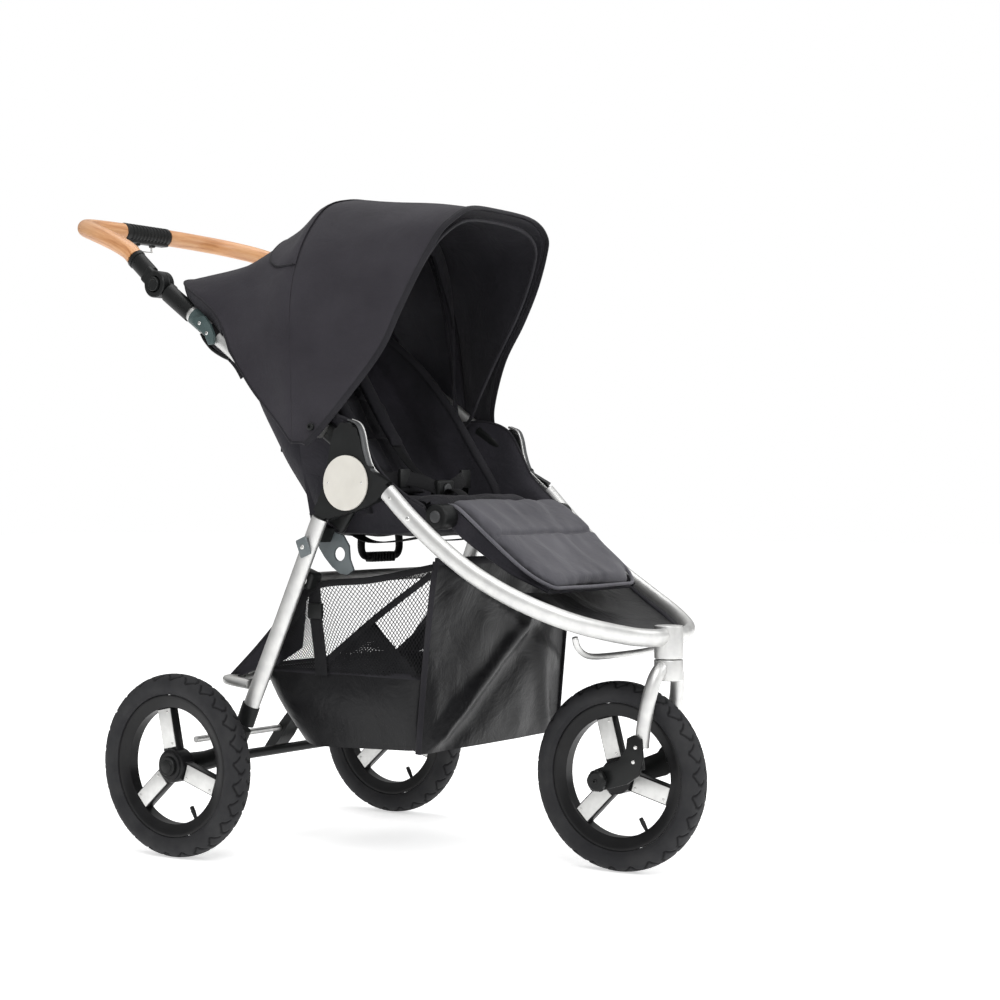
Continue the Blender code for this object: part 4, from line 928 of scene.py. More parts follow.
CANOPY_LAST = [(0.2510, 0.156, 0.842), (0.2510, 0.166, 0.868), (0.2510, 0.178, 0.890), (0.2505, 0.194, 0.910),
               (0.2490, 0.220, 0.930), (0.2450, 0.252, 0.950), (0.2180, 0.284, 0.968), (0.1460, 0.298, 0.976),
               (0.0720, 0.302, 0.979), (0, 0.303, 0.980)]
HUB = Vector((0, 0.016, 0.719))


def whole_profile(half):
    """A right-to-left profile from a left half that runs from hem to crown."""
    return [(-x, y, z) for x, y, z in half] + [tuple(p) for p in reversed(half)][1:]


def pulled_in(grid, amount, share=0.25):
    """Lets the cloth hang slightly slack between its bows: rows move in most half way along."""
    rows = grid.shape[0]
    centre = np.array([0, 0.03, 0.80])
    for i in range(rows):
        slack = math.sin(math.pi * i / (rows - 1)) * amount
        away = grid[i] - centre
        away /= np.linalg.norm(away, axis=1)[:, None]
        grid[i] -= away * slack
    return grid


def wrinkled(grid, seed, strength, scale, stretch=(1, 1, 1)):
    """Small smooth wrinkles from coherent noise, none at the sheet's edges."""
    rows, columns = grid.shape[:2]
    for i in range(rows):
        for k in range(columns):
            fade = min(1, min(i, rows - 1 - i) / (rows * 0.12)) * min(1, min(k, columns - 1 - k) / (columns * 0.05))
            p = grid[i, k]
            spot = Vector((p[0] * stretch[0], p[1] * stretch[1], p[2] * stretch[2])) * scale + Vector((seed, 0, 0))
            push = noise.noise(spot) * strength * fade
            away = p - np.array([0, 0.03, 0.80])
            grid[i, k] = p + away / np.linalg.norm(away) * push
    return grid


def canopy_panels():
    rim, seam = whole_profile(CANOPY_RIM), whole_profile(CANOPY_SEAM)
    middle = [tuple((a + b) / 2 for a, b in zip(p, q)) for p, q in zip(rim, seam)]
    crown = len(middle) // 2
    middle = [(x, y, z + 0.006 * (1 - abs(i - crown) / crown)) for i, (x, y, z) in enumerate(middle)]
    front = spread([rim, middle, seam], 121, 41)
    rear = spread([whole_profile([(x, y + 0.002, z) for x, y, z in CANOPY_SEAM]), whole_profile(CANOPY_SECOND),
                   whole_profile(CANOPY_THIRD), whole_profile(CANOPY_LAST)], 121, 41)
    return front, rear


def offset_grid(grid, amount):
    """The grid moved along its own normals."""
    du, dv = np.gradient(grid, axis=1), np.gradient(grid, axis=0)
    normal = np.cross(du, dv)
    normal /= np.linalg.norm(normal, axis=2)[:, :, None] + 1e-12
    if normal[grid.shape[0] // 2, grid.shape[1] // 2, 2] < 0:
        normal = -normal
    return grid + normal * amount


def make_canopy():
    front, rear = canopy_panels()
    pulled_in(front, 0.004)
    pulled_in(rear, 0.007)
    wrinkled(front, 3.1, 0.0034, 9)
    wrinkled(rear, 8.4, 0.0062, 11)
    lining = offset_grid(front, -0.0034)
    # the cloth turns in and dips where the two panels are sewn together
    for i, depth in ((-1, 0.0022), (-2, 0.0006)):
        front[i] = offset_grid(front, -depth)[i]
    for i, depth in ((0, 0.0022), (1, 0.0006)):
        rear[i] = offset_grid(rear, -depth)[i]
    shell = cloth("canopy_front_panel", front, 0.0014)
    dress(shell, "canopy_front", CANOPY, "canopy_front")
    shell.parent = None
    inner = cloth("canopy_front_lining", lining[1:-1, 1:-1], 0.0010)
    dress(inner, None, LINING)
    back = cloth("canopy_rear_panel", rear, 0.0014)
    dress(back, "upper_frame", CANOPY, "canopy_rear")
    inner_rear = cloth("canopy_rear_lining", offset_grid(rear, -0.0034)[1:-1, 1:-1], 0.0010)
    dress(inner_rear, "upper_frame", LINING)
    hem = swept("canopy_rim_binding", offset_grid(front, 0.0002)[0], tape(0.0110, 0.0036), front[1, 60] - front[0, 60])
    dress(hem, None, BINDING)
    piping = swept("canopy_rim_piping", front[0], oval(0.0024, 0.0024, 12))
    dress(piping, None, BINDING)
    seam_line = swept("canopy_seam_fold", offset_grid(front, -0.0008)[-1], oval(0.0011, 0.0016, 8))
    dress(seam_line, "canopy_mid", BINDING)
    edge = swept("canopy_rear_binding", rear[-1], oval(0.0022, 0.0022, 12))
    dress(edge, "upper_frame", BINDING)
    for word, column in (("right", 0), ("left", -1)):
        side_hem = swept(f"canopy_hem_{word}", rear[:, column], oval(0.0022, 0.0022, 12))
        dress(side_hem, "upper_frame", BINDING)
        foot_hem = swept(f"canopy_front_hem_{word}", front[:, column], oval(0.0022, 0.0022, 12))
        dress(foot_hem, None, BINDING)
        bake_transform(foot_hem)
    for piece in (shell, inner, hem, piping):
        if "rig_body" in piece:
            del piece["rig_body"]
        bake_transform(piece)
    make_peek_flap(rear)
    make_apron(rear)
    for node, body, radius in (("canopy_mid_bow", "canopy_mid", 0.0035), ("canopy_stay_bow", "canopy_stay", 0.0025),
                               ("canopy_front_bow", "canopy_front", 0.0035)):
        refined(node, body, LINING, 1, 50)
    for word, side in SIDES:
        snap = screw(f"canopy_snap_{word}", (side * 0.2528, -0.0180, 0.7130), 0.0062, "X", side, NYLON)
        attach(snap, "canopy_front")
        snap_hub = screw(f"canopy_hub_screw_{word}", (side * 0.2083, 0.016, 0.719), 0.0045, "X", -side, ZINC)
        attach(snap_hub, "canopy_mid")
        hub = lathe(f"canopy_hub_cap_{word}", [(side * x, r) for x, r in (
            (0.2085, 0.0), (0.2085, 0.0125), (0.2097, 0.0142), (0.2190, 0.0142), (0.2198, 0.0130), (0.2198, 0.0))],
            HUB, 32)
        dress(hub, "canopy_mid", NYLON)


def make_peek_flap(rear):
    """The flap over the rear window: one curved piece of cloth with a piped edge."""
    columns = rear.shape[1]
    raised = offset_grid(rear, 0.0030)
    low, high = int(columns * 0.290), int(columns * 0.710)
    rows = 26
    flap = np.zeros((rows, high - low + 1, 3))
    for j, column in enumerate(range(low, high + 1)):
        t = (j / (high - low) - 0.5) * 2
        reach = 0.44 * (1 - abs(t) ** 6) ** 0.5 if abs(t) < 1 else 0.0
        reach = max(reach, 0.02)
        for i in range(rows):
            at = reach * i / (rows - 1) * (rear.shape[0] - 1)
            a = int(at)
            b = min(a + 1, rear.shape[0] - 1)
            flap[i, j] = raised[a, column] * (1 - at + a) + raised[b, column] * (at - a)
    piece = cloth("peek_flap", flap, 0.0014)
    dress(piece, "upper_frame", CANOPY)
    trim = swept("peek_flap_piping", flap[-1], oval(0.0018, 0.0018, 10))
    dress(trim, "upper_frame", BINDING)


def make_apron(rear):
    """The cloth behind the head: it closes the gap from the canopy's rear edge down to the back of the seat."""
    last = rear[-1, 12:-12]
    rows = []
    for reach, (pinch, back, drop) in enumerate(((1.0, 0.0, 0.0), (0.965, 0.006, 0.012), (0.885, 0.008, 0.045),
                                                 (0.80, -0.004, 0.085))):
        row = last * np.array([pinch, 1, 1]) + np.array([0, back, -drop])
        crown = 1 - np.abs(last[:, 0] / 0.251) ** 2
        row[:, 1] -= reach * 0.010 * crown
        rows.append(row)
    grid = np.array([catmull(np.array(rows)[:, k], 25) for k in range(len(last))]).transpose(1, 0, 2)
    wrinkled(grid, 15.0, 0.006, 14)
    piece = cloth("canopy_apron", grid, 0.0016)
    dress(piece, None, TWILL)
    hem = swept("canopy_apron_hem", grid[-1], tape(0.0100, 0.0028), (0, 0, 1))
    dress(hem, None, BINDING)
    for one in (piece, hem):
        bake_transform(one)


# ---- padding ----
def inflate(piece, pressure=4.0, cap=0.008, voxel=0.006, frames=14):
    """Swells a padded piece with cloth simulation, and caps how far each point may move."""
    apply_modifier(piece, "REMESH", mode="VOXEL", voxel_size=voxel)
    before = np.array([v.co for v in piece.data.vertices])
    only(piece)
    modifier = piece.modifiers.new("Cloth", "CLOTH")
    modifier.settings.use_pressure = True
    modifier.settings.uniform_pressure_force = pressure
    modifier.settings.effector_weights.gravity = 0
    modifier.settings.quality = 5
    modifier.point_cache.frame_end = frames
    for count in range(1, frames + 1):
        bpy.context.scene.frame_set(count)
    bpy.ops.object.modifier_apply(modifier=modifier.name)
    bpy.context.scene.frame_set(1)
    after = np.array([v.co for v in piece.data.vertices])
    moved = after - before
    far = np.linalg.norm(moved, axis=1)
    share = np.minimum(1, cap / np.maximum(far, 1e-9))[:, None]
    for vertex, place in zip(piece.data.vertices, before + moved * share):
        vertex.co = Vector(place)
    apply_modifier(piece, "SMOOTH", factor=0.5, iterations=6)
    apply_modifier(piece, "SUBSURF", levels=1, render_levels=1)
    return piece


def stitched(piece, lines, depth=0.005, width=0.006, up=None):
    """Presses seams into a pad: points near each line sink along their normals."""
    places = np.array([v.co for v in piece.data.vertices])
    normals = np.array([v.normal for v in piece.data.vertices])
    sink = np.zeros(len(places))
    way = np.array(up if up is not None else (0, 0, 1), float)
    way /= np.linalg.norm(way)
    for line in lines:
        points = catmull(line, max(24, len(line) * 12))
        for a, b in zip(points, points[1:]):
            ab = b - a
            t = np.clip(((places - a) @ ab) / max(ab @ ab, 1e-12), 0, 1)
            apart = places - (a + t[:, None] * ab)
            if up is not None:
                apart -= (apart @ way)[:, None] * way
            gap = np.linalg.norm(apart, axis=1)
            sink = np.maximum(sink, np.exp(-(gap / width) ** 2))
    if up is not None:
        sink *= np.clip(normals @ np.array(up) * 1.6, 0, 1)
    for vertex, normal, amount in zip(piece.data.vertices, normals, sink):
        if amount > 0.01:
            vertex.co -= Vector(normal * amount * depth)
    return piece


def puckered(piece, seed, strength, scale, stretch=(1, 1, 1)):
    """Soft folds in a pad from coherent noise."""
    for vertex in piece.data.vertices:
        spot = Vector((vertex.co.x * stretch[0], vertex.co.y * stretch[1], vertex.co.z * stretch[2])) * scale
        vertex.co += vertex.normal * noise.noise(spot + Vector((seed, 0, 0))) * strength
    return piece


def pad_form(name, rows, thickness):
    """A closed pad: a curved sheet through rows of points, given its thickness."""
    grid = spread(rows, 25, 25)
    return cloth(name, grid, thickness, 0.0)


# ---- leg rest ----
def leg_rest_row(s, half):
    """A row across the leg rest at a distance s down its face."""
    line = catmull([(0, -0.2190, 0.5860), (0, -0.2380, 0.5830), (0, -0.2700, 0.5600), (0, -0.3050, 0.5320),
                    (0, -0.3550, 0.4930), (0, -0.4020, 0.4570)], 60)
    at = min(59, max(0, int(round(s * 59))))
    place = line[at]
    return [(x * half, place[1], place[2]) for x in (-1, -0.85, -0.5, 0, 0.5, 0.85, 1)]


def make_leg_rest():
    rows = []
    for s, half in ((0.0, 0.145), (0.10, 0.149), (0.30, 0.1505), (0.5, 0.1505), (0.7, 0.1495), (0.84, 0.144),
                    (0.93, 0.132), (1.0, 0.110)):
        rows.append(leg_rest_row(s, half))
    pad = pad_form("leg_rest_cushion", rows, 0.014)
    inflate(pad, 4.0, 0.007, 0.005)
    seam = [(x, -0.308, 0.5360) for x in (-0.160, -0.07, 0, 0.07, 0.160)]
    up = (0, -0.61, 0.79)
    puckered(pad, 4.0, 0.0040, 15, (2.0, 1.0, 1.0))
    puckered(pad, 9.0, 0.0018, 44, (1.0, 0.5, 0.5))
    stitched(pad, [seam], 0.0060, 0.0048, up)
    round_off(pad, 80)
    dress(pad, "leg_rest", QUILT, "leg_rest_pad")
    outline = []
    for s, half in ((0.0, 0.150), (0.2, 0.1535), (0.4, 0.1550), (0.6, 0.1550), (0.78, 0.1535), (0.88, 0.1480),
                    (0.95, 0.1370), (1.0, 0.1180)):
        outline.append((half, *leg_rest_row(s, half)[3][1:]))
    outline.append((0.088, -0.4030, 0.4562))
    edge = side_of(outline, -1) + [(0, -0.4040, 0.4555)] + outline[::-1]
    trim = swept("leg_rest_piping", catmull(edge, 150), oval(0.0030, 0.0030, 12), (0, 0, 1))
    dress(trim, "leg_rest", QUILT)
    under = []
    for s in np.linspace(0.0, 1.0, 20):
        place, deep = leg_rest_row(s, 1)[3], 0.010 + 0.026 * math.sin(math.pi * min(1, 0.25 + s * 0.75))
        half = 0.1530 - 0.016 * max(0, (s - 0.75) / 0.18)
        under.append([(x * half, place[1] + 0.61 * d * deep, place[2] - 0.79 * d * deep) for x, d in (
            (-1.0, 0.15), (-0.995, 0.6), (-0.95, 1.0), (-0.4, 1.06), (0, 1.08), (0.4, 1.06), (0.95, 1.0), (0.995, 0.6),
            (1.0, 0.15))])
    tray = spread(under, 61, 41)
    wrinkled(tray, 41.0, 0.004, 15)
    board = cloth("leg_rest_underside", tray, 0.0024)
    dress(board, "leg_rest", TWILL)
    refined("leg_rest_hinge", "front_frame", NYLON, 2, 40)
    for word, side in SIDES:
        refined(f"leg_rest_button_{word}", f"leg_rest_button_{word}", TRIM, 2, 40)


# ---- seat ----
def belt(name, line, width=0.025, thickness=0.0018, across=(1, 0, 0), body="front_frame", finish=None, count=None):
    strap = swept(name, catmull(line, count or max(16, len(line) * 10)), tape(width, thickness), across)
    return dress(strap, body, finish or WEBBING)


def make_seat():
    cushion = pad_form("seat_cushion", [[(x * 0.150, y, z) for x in (-1, -0.6, 0, 0.6, 1)]
                                        for y, z in ((-0.190, 0.580), (-0.150, 0.585), (-0.090, 0.583), (-0.040, 0.582),
                                                     (-0.002, 0.586))], 0.018)
    inflate(cushion, 4.0, 0.008, 0.0065)
    stitched(cushion, [[(x, y, 0.594) for x in (-0.15, 0, 0.15)] for y in (-0.145, -0.075)], 0.005, 0.006, (0, 0, 1))
    puckered(cushion, 2.0, 0.006, 17)
    round_off(cushion, 80)
    dress(cushion, "front_frame", INNER, "seat_base")
    rows = []
    for y, low in ((-0.212, 0.5660), (-0.200, 0.5480), (-0.150, 0.5400), (-0.080, 0.5380), (-0.010, 0.5400), (0.034, 0.5470),
                   (0.046, 0.5640)):
        rows.append([(-0.176, y, max(low, 0.570)), (-0.174, y, low + 0.008), (-0.160, y, low), (-0.06, y, low - 0.004),
                     (0, y, low - 0.005), (0.06, y, low - 0.004), (0.160, y, low), (0.174, y, low + 0.008),
                     (0.176, y, max(low, 0.570))])
    under = spread(rows, 61, 41)
    wrinkled(under, 5.0, 0.005, 14)
    dress(cloth("seat_underside", under, 0.0020), "front_frame", TWILL)
    plate = slab("catch_pivot_plate", (-0.2505, -0.0020, 0.5180), (0.0050, 0.0230, 0.0310), 0.0024, 3, math.radians(-22))
    dress(plate, "rear_legs", CATCH)
    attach(screw("catch_pivot_rivet", (-0.2535, -0.0020, 0.5180), 0.0040, "X", -1, ZINC), "rear_legs")
    make_under_straps()
    make_wings()
    make_seat_back()
    make_harness()


def make_under_straps():
    """Webbing under the seat: it holds the grab handle and the two legs of the harness."""
    for word, side in SIDES:
        belt(f"grab_strap_{word}", side_of([(0.170, 0.030, 0.548), (0.120, 0.031, 0.540), (0.075, 0.032, 0.534),
                                            (0.052, 0.032, 0.535)], side), 0.022, 0.0024, (0, 1, 0))
        belt(f"tether_strap_{word}", side_of([(0.186, 0.052, 0.508), (0.160, 0.046, 0.520), (0.130, 0.040, 0.534),
                                              (0.112, 0.034, 0.542)], side), 0.016, 0.0022, (0, 1, 0.4))
        belt(f"under_strap_{word}", side_of([(0.105, -0.150, 0.536), (0.100, -0.080, 0.526), (0.092, -0.020, 0.524),
                                             (0.080, 0.030, 0.538)], side), 0.025, 0.0024, (1, 0, 0))
    grip = swept("grab_wrap", catmull([(-0.050, 0.032, 0.541), (0, 0.032, 0.537), (0.050, 0.032, 0.541)], 24),
                 oval(0.0145, 0.0070, 20), (0, 1, 0))
    dress(grip, "front_frame", TWILL)


def make_wings():
    """The cloth sides of the seat, from the hub housings in to the cushion, with piped edges."""
    for word, side in SIDES:
        top = [(0.2140, 0.040, 0.7250), (0.2180, 0.000, 0.7330), (0.2220, -0.0450, 0.7320), (0.2225, -0.0850, 0.7160),
               (0.2215, -0.1120, 0.6780), (0.2180, -0.1350, 0.6400), (0.2120, -0.1700, 0.6080), (0.1980, -0.2050, 0.5850)]
        middle = [(0.1960, 0.045, 0.6550), (0.1980, 0.005, 0.6600), (0.2010, -0.0350, 0.6600), (0.2020, -0.0720, 0.6500),
                  (0.2010, -0.1020, 0.6350), (0.1990, -0.1320, 0.6150), (0.1930, -0.1650, 0.5960), (0.1830, -0.1980, 0.5800)]
        foot = [(0.1760, 0.040, 0.5500), (0.1750, 0.000, 0.5440), (0.1740, -0.0380, 0.5430), (0.1730, -0.0720, 0.5430),
                (0.1730, -0.1020, 0.5440), (0.1730, -0.1350, 0.5460), (0.1730, -0.1650, 0.5490), (0.1720, -0.1980, 0.5560)]
        grid = spread([side_of(top, side), side_of(middle, side), side_of(foot, side)], 49, 25)
        wrinkled(grid, 6.0 + side, 0.007, 16, (1, 1, 0.5))
        wing = cloth(f"seat_wing_{word}", grid, 0.0035)
        dress(wing, "front_frame", TWILL)
        trim = swept(f"wing_piping_{word}", grid[0], oval(0.0026, 0.0026, 12))
        dress(trim, "front_frame", BINDING)


SEAT_STATIONS = [(0.040, 0.572, 0.130, 0.194), (0.068, 0.612, 0.150, 0.194), (0.118, 0.680, 0.155, 0.194),
                 (0.168, 0.762, 0.150, 0.190), (0.215, 0.845, 0.130, 0.172), (0.256, 0.925, 0.085, 0.128)]


def make_seat_back():
    """The back: a wrapped outer cloth with mesh vents, a quilted inner pad and its wings."""
    outer, inner = [], []
    for y, z, wing, half in SEAT_STATIONS:
        outer.append([(-half + 0.004, y - wing, z), (-half, y - wing * 0.6, z), (-half + 0.002, y - 0.040, z),
                      (-half + 0.034, y - 0.003, z), (-half * 0.4, y, z), (0, y, z), (half * 0.4, y, z),
                      (half - 0.034, y - 0.003, z), (half - 0.002, y - 0.040, z), (half, y - wing * 0.6, z),
                      (half - 0.004, y - wing, z)])
        inner.append([(-half + 0.010, y - wing + 0.001, z), (-half + 0.019, y - wing * 0.6, z),
                      (-half + 0.023, y - 0.052, z), (-half + 0.046, y - 0.020, z), (-half * 0.4, y - 0.016, z),
                      (0, y - 0.015, z), (half * 0.4, y - 0.016, z), (half - 0.046, y - 0.020, z),
                      (half - 0.023, y - 0.052, z), (half - 0.019, y - wing * 0.6, z), (half - 0.010, y - wing + 0.001, z)])
    shell = spread(outer, 81, 41)
    wrinkled(shell, 11.0, 0.004, 9)
    back = cloth("seat_back_cloth", shell, 0.0022)
    dress(back, "seat_back", TWILL, "seat_back")
    lining = spread(inner, 81, 41)
    wrinkled(lining, 12.0, 0.008, 13, (1, 1, 0.45))
    face = cloth("seat_back_lining", lining, 0.0030)
    dress(face, "seat_back", INNER)
    rim = list(catmull(np.array(outer)[:, 0] * 0.5 + np.array(inner)[:, 0] * 0.5, 30))
    top = [tuple((np.array(a) + np.array(b)) / 2) for a, b in zip(outer[-1], inner[-1])]
    far = list(catmull(np.array(outer)[:, -1] * 0.5 + np.array(inner)[:, -1] * 0.5, 30))[::-1]
    edge = rim[:-1] + list(catmull(top, 50)) + far[1:]
    trim = swept("seat_back_piping", edge, oval(0.0075, 0.0040, 14), (1, 0, 0))
    dress(trim, "seat_back", BINDING)
    pad = pad_form("seat_back_pad", [[(x * half, y, z) for x in (-1, -0.6, 0, 0.6, 1)] for y, z, half in (
        (0.018, 0.600, 0.128), (0.060, 0.655, 0.132), (0.100, 0.712, 0.132), (0.143, 0.785, 0.128),
        (0.180, 0.850, 0.108), (0.206, 0.900, 0.082))], 0.015)
    inflate(pad, 4.0, 0.009, 0.0065)
    way = Vector((0, -0.85, 0.52))
    lines = []
    for y, z in ((0.040, 0.640), (0.082, 0.705), (0.122, 0.772), (0.160, 0.838)):
        lines.append([(x, y - 0.012, z + 0.006) for x in (-0.14, -0.07, 0, 0.07, 0.14)])
    for x in (-0.052, 0.052):
        lines.append([(x, y - 0.012, z + 0.006) for y, z in ((0.030, 0.622), (0.082, 0.705), (0.160, 0.838), (0.19, 0.88))])
    stitched(pad, lines, 0.0060, 0.0060, tuple(way))
    puckered(pad, 3.0, 0.0065, 15)
    round_off(pad, 80)
    dress(pad, "seat_back", INNER)
    make_seat_rear(shell)


def make_seat_rear(shell):
    """What the parent sees: mesh vents with webbing round them, a zip, and the recline strap with its clamp."""
    raised = shell + np.array([0, 0.0022, 0])
    for number, (row_low, row_high, low, high) in enumerate(((22, 28, 26, 39), (22, 28, 41, 54), (30, 36, 28, 39),
                                                              (30, 36, 41, 52))):
        patch = spread(raised[row_low:row_high + 1, low:high + 1], 40, 22)
        vent = net_piece(f"back_vent_{number}", patch, 0.0050, 0.0011)
        dress(vent, "seat_back", NET)
        ring = list(patch[0]) + list(patch[1:, -1]) + list(patch[-1, ::-1][1:]) + list(patch[::-1, 0][1:-1])
        frame_strip = swept(f"back_vent_edge_{number}", ring, tape(0.0065, 0.0018), (0, 1, 0.3), loop=True)
        dress(frame_strip, "seat_back", BINDING)
    zip_line = [tuple(raised[18, k]) for k in range(24, 57)]
    dress(swept("back_zip", zip_line, tape(0.0045, 0.0024), (0, 0, 1)), "seat_back", NYLON)
    pocket_rows = raised[4:17, 24:57] + np.array([0, 0.003, 0])
    pocket = spread(pocket_rows, 45, 21)
    wrinkled(pocket, 21.0, 0.005, 12)
    dress(cloth("back_pocket", pocket, 0.0020), "seat_back", TWILL)
    hem = swept("back_pocket_hem", pocket[-1], tape(0.0100, 0.0030), (0, 0, 1))
    dress(hem, "seat_back", BINDING)
    strap = [tuple(p) for p in (raised[20, 40], raised[26, 40], raised[31, 40], raised[36, 40])]
    belt("recline_strap", [(x, y + 0.004, z) for x, y, z in strap], 0.022, 0.002, (1, 0, 0), "seat_back")
    clamp = slab("recline_clamp", Vector(raised[28, 40]) + Vector((0, 0.010, 0)), (0.040, 0.014, 0.030), 0.004, 3,
                 math.radians(-28))
    dress(clamp, "seat_back", SLATE)


def make_harness():
    for word, side in SIDES:
        belt(f"shoulder_belt_{word}", side_of([(0.046, 0.1560, 0.862), (0.048, 0.110, 0.800), (0.050, 0.066, 0.730),
                                               (0.052, 0.020, 0.668), (0.046, -0.030, 0.630), (0.030, -0.078, 0.618),
                                               (0.018, -0.0985, 0.614)], side), 0.025)
        cover = pad_form(f"shoulder_pad_{word}", [[(side * (0.049 + x * 0.019), y, z) for x in (-1, 0, 1)] for y, z in
                                                  ((0.128, 0.838), (0.095, 0.785), (0.062, 0.732), (0.030, 0.688))], 0.009)
        inflate(cover, 4.0, 0.004, 0.0055)
        round_off(cover, 80)
        dress(cover, "front_frame", TWILL)
        belt(f"waist_belt_{word}", side_of([(0.158, -0.035, 0.602), (0.128, -0.060, 0.622), (0.085, -0.085, 0.630),
                                            (0.045, -0.099, 0.622), (0.020, -0.1010, 0.614)], side), 0.025, 0.0018,
             (0, 0.3, 1))
        slide = slab(f"belt_slide_{word}", (side * 0.088, -0.0850, 0.6300), (0.028, 0.006, 0.032), 0.002, 2)
        dress(slide, "front_frame", NYLON)
    belt("crotch_belt", [(0, -0.150, 0.594), (0, -0.138, 0.606), (0, -0.120, 0.612), (0, -0.108, 0.600)], 0.030)
    buckle = slab("harness_clasp", (0, -0.100, 0.6105), (0.047, 0.0190, 0.0350), 0.0050, 4)
    bpy.ops.object.select_all(action="DESELECT")
    bpy.ops.mesh.primitive_cylinder_add(vertices=32, radius=0.0103, depth=0.012, location=(0, -0.1095, 0.612),
                                        rotation=(math.radians(90), 0, 0))
    pocket = bpy.context.object
    apply_boolean(buckle, pocket)
    round_off(buckle)
    dress(buckle, "front_frame", NYLON, "harness_buckle")
    refined("buckle_button", "buckle_button", TRIM, 2, 40)
    refined("fold_handle", "fold_handle", WEBBING, 2, 60)
    ribs = [slab("grab_rib", (x, 0.032, 0.496), (0.0045, 0.0175, 0.0175), 0.0020, 2) for x in
            np.linspace(-0.030, 0.030, 8)]
    dress(joined("grab_handle_ribs", ribs), "fold_handle", NYLON)


def apply_boolean(piece, cutter, operation="DIFFERENCE"):
    apply_modifier(piece, "BOOLEAN", operation=operation, object=cutter, solver="EXACT")
    bpy.data.objects.remove(cutter, do_unlink=True)


# ---- nets, basket and footwell ----
def net_piece(name, grid, cell, strand):
    """Diamond netting over a grid of points: real strands with open holes."""
    width = np.linalg.norm(np.diff(grid, axis=1), axis=2).sum(1).mean()
    height = np.linalg.norm(np.diff(grid, axis=0), axis=2).sum(0).mean()
    half = cell / math.sqrt(2)
    columns, rows = max(4, int(width / half)), max(4, int(height / half))

    def at(u, v):
        x, y = u * (grid.shape[1] - 1), v * (grid.shape[0] - 1)
        a, b = min(int(x), grid.shape[1] - 2), min(int(y), grid.shape[0] - 2)
        fx, fy = x - a, y - b
        return ((grid[b, a] * (1 - fx) + grid[b, a + 1] * fx) * (1 - fy)
                + (grid[b + 1, a] * (1 - fx) + grid[b + 1, a + 1] * fx) * fy)

    points, index = [], {}
    for j in range(rows + 1):
        for i in range(columns + 1):
            if (i + j) % 2 == 0:
                index[i, j] = len(points)
                points.append(at(i / columns, j / rows))
    faces = []
    for j in range(rows + 1):
        for i in range(columns + 1):
            if (i + j) % 2:
                corners = [index.get(c) for c in ((i + 1, j), (i, j + 1), (i - 1, j), (i, j - 1))]
                if None not in corners:
                    faces.append(tuple(corners))
    piece = mesh_piece(name, points, faces)
    shape = bmesh.new()
    shape.from_mesh(piece.data)
    made = bmesh.ops.inset_individual(shape, faces=shape.faces[:], thickness=strand / 2, use_even_offset=True)
    rim = set(made["faces"])
    bmesh.ops.delete(shape, geom=[f for f in shape.faces if f not in rim], context="FACES_ONLY")
    bmesh.ops.delete(shape, geom=[v for v in shape.verts if not v.link_faces], context="VERTS")
    shape.to_mesh(piece.data)
    shape.free()
    apply_modifier(piece, "SOLIDIFY", thickness=0.0007, offset=0)
    return piece


def make_footwell():
    rows = []
    for y, half, z, sag in ((-0.335, 0.1960, 0.4580, 0.016), (-0.372, 0.1870, 0.4360, 0.016), (-0.410, 0.1700, 0.4180, 0.014),
                            (-0.450, 0.1480, 0.4010, 0.012), (-0.485, 0.1180, 0.3890, 0.008), (-0.5180, 0.0760, 0.3800, 0.003)):
        rows.append([(s * half, y, z - sag * (1 - abs(s) ** 2.2)) for s in (-1, -0.66, -0.33, 0, 0.33, 0.66, 1)])
    grid = spread(rows, 61, 41)
    wrinkled(grid, 31.0, 0.009, 16)
    dress(cloth("footwell_cloth", grid, 0.0028), "front_frame", COATED, "footwell")
    for word, column in (("right", 0), ("left", -1)):
        edge = swept(f"footwell_edge_{word}", grid[:, column] + np.array([0, 0, 0.001]), oval(0.0060, 0.0040, 14))
        dress(edge, "front_frame", TWILL)


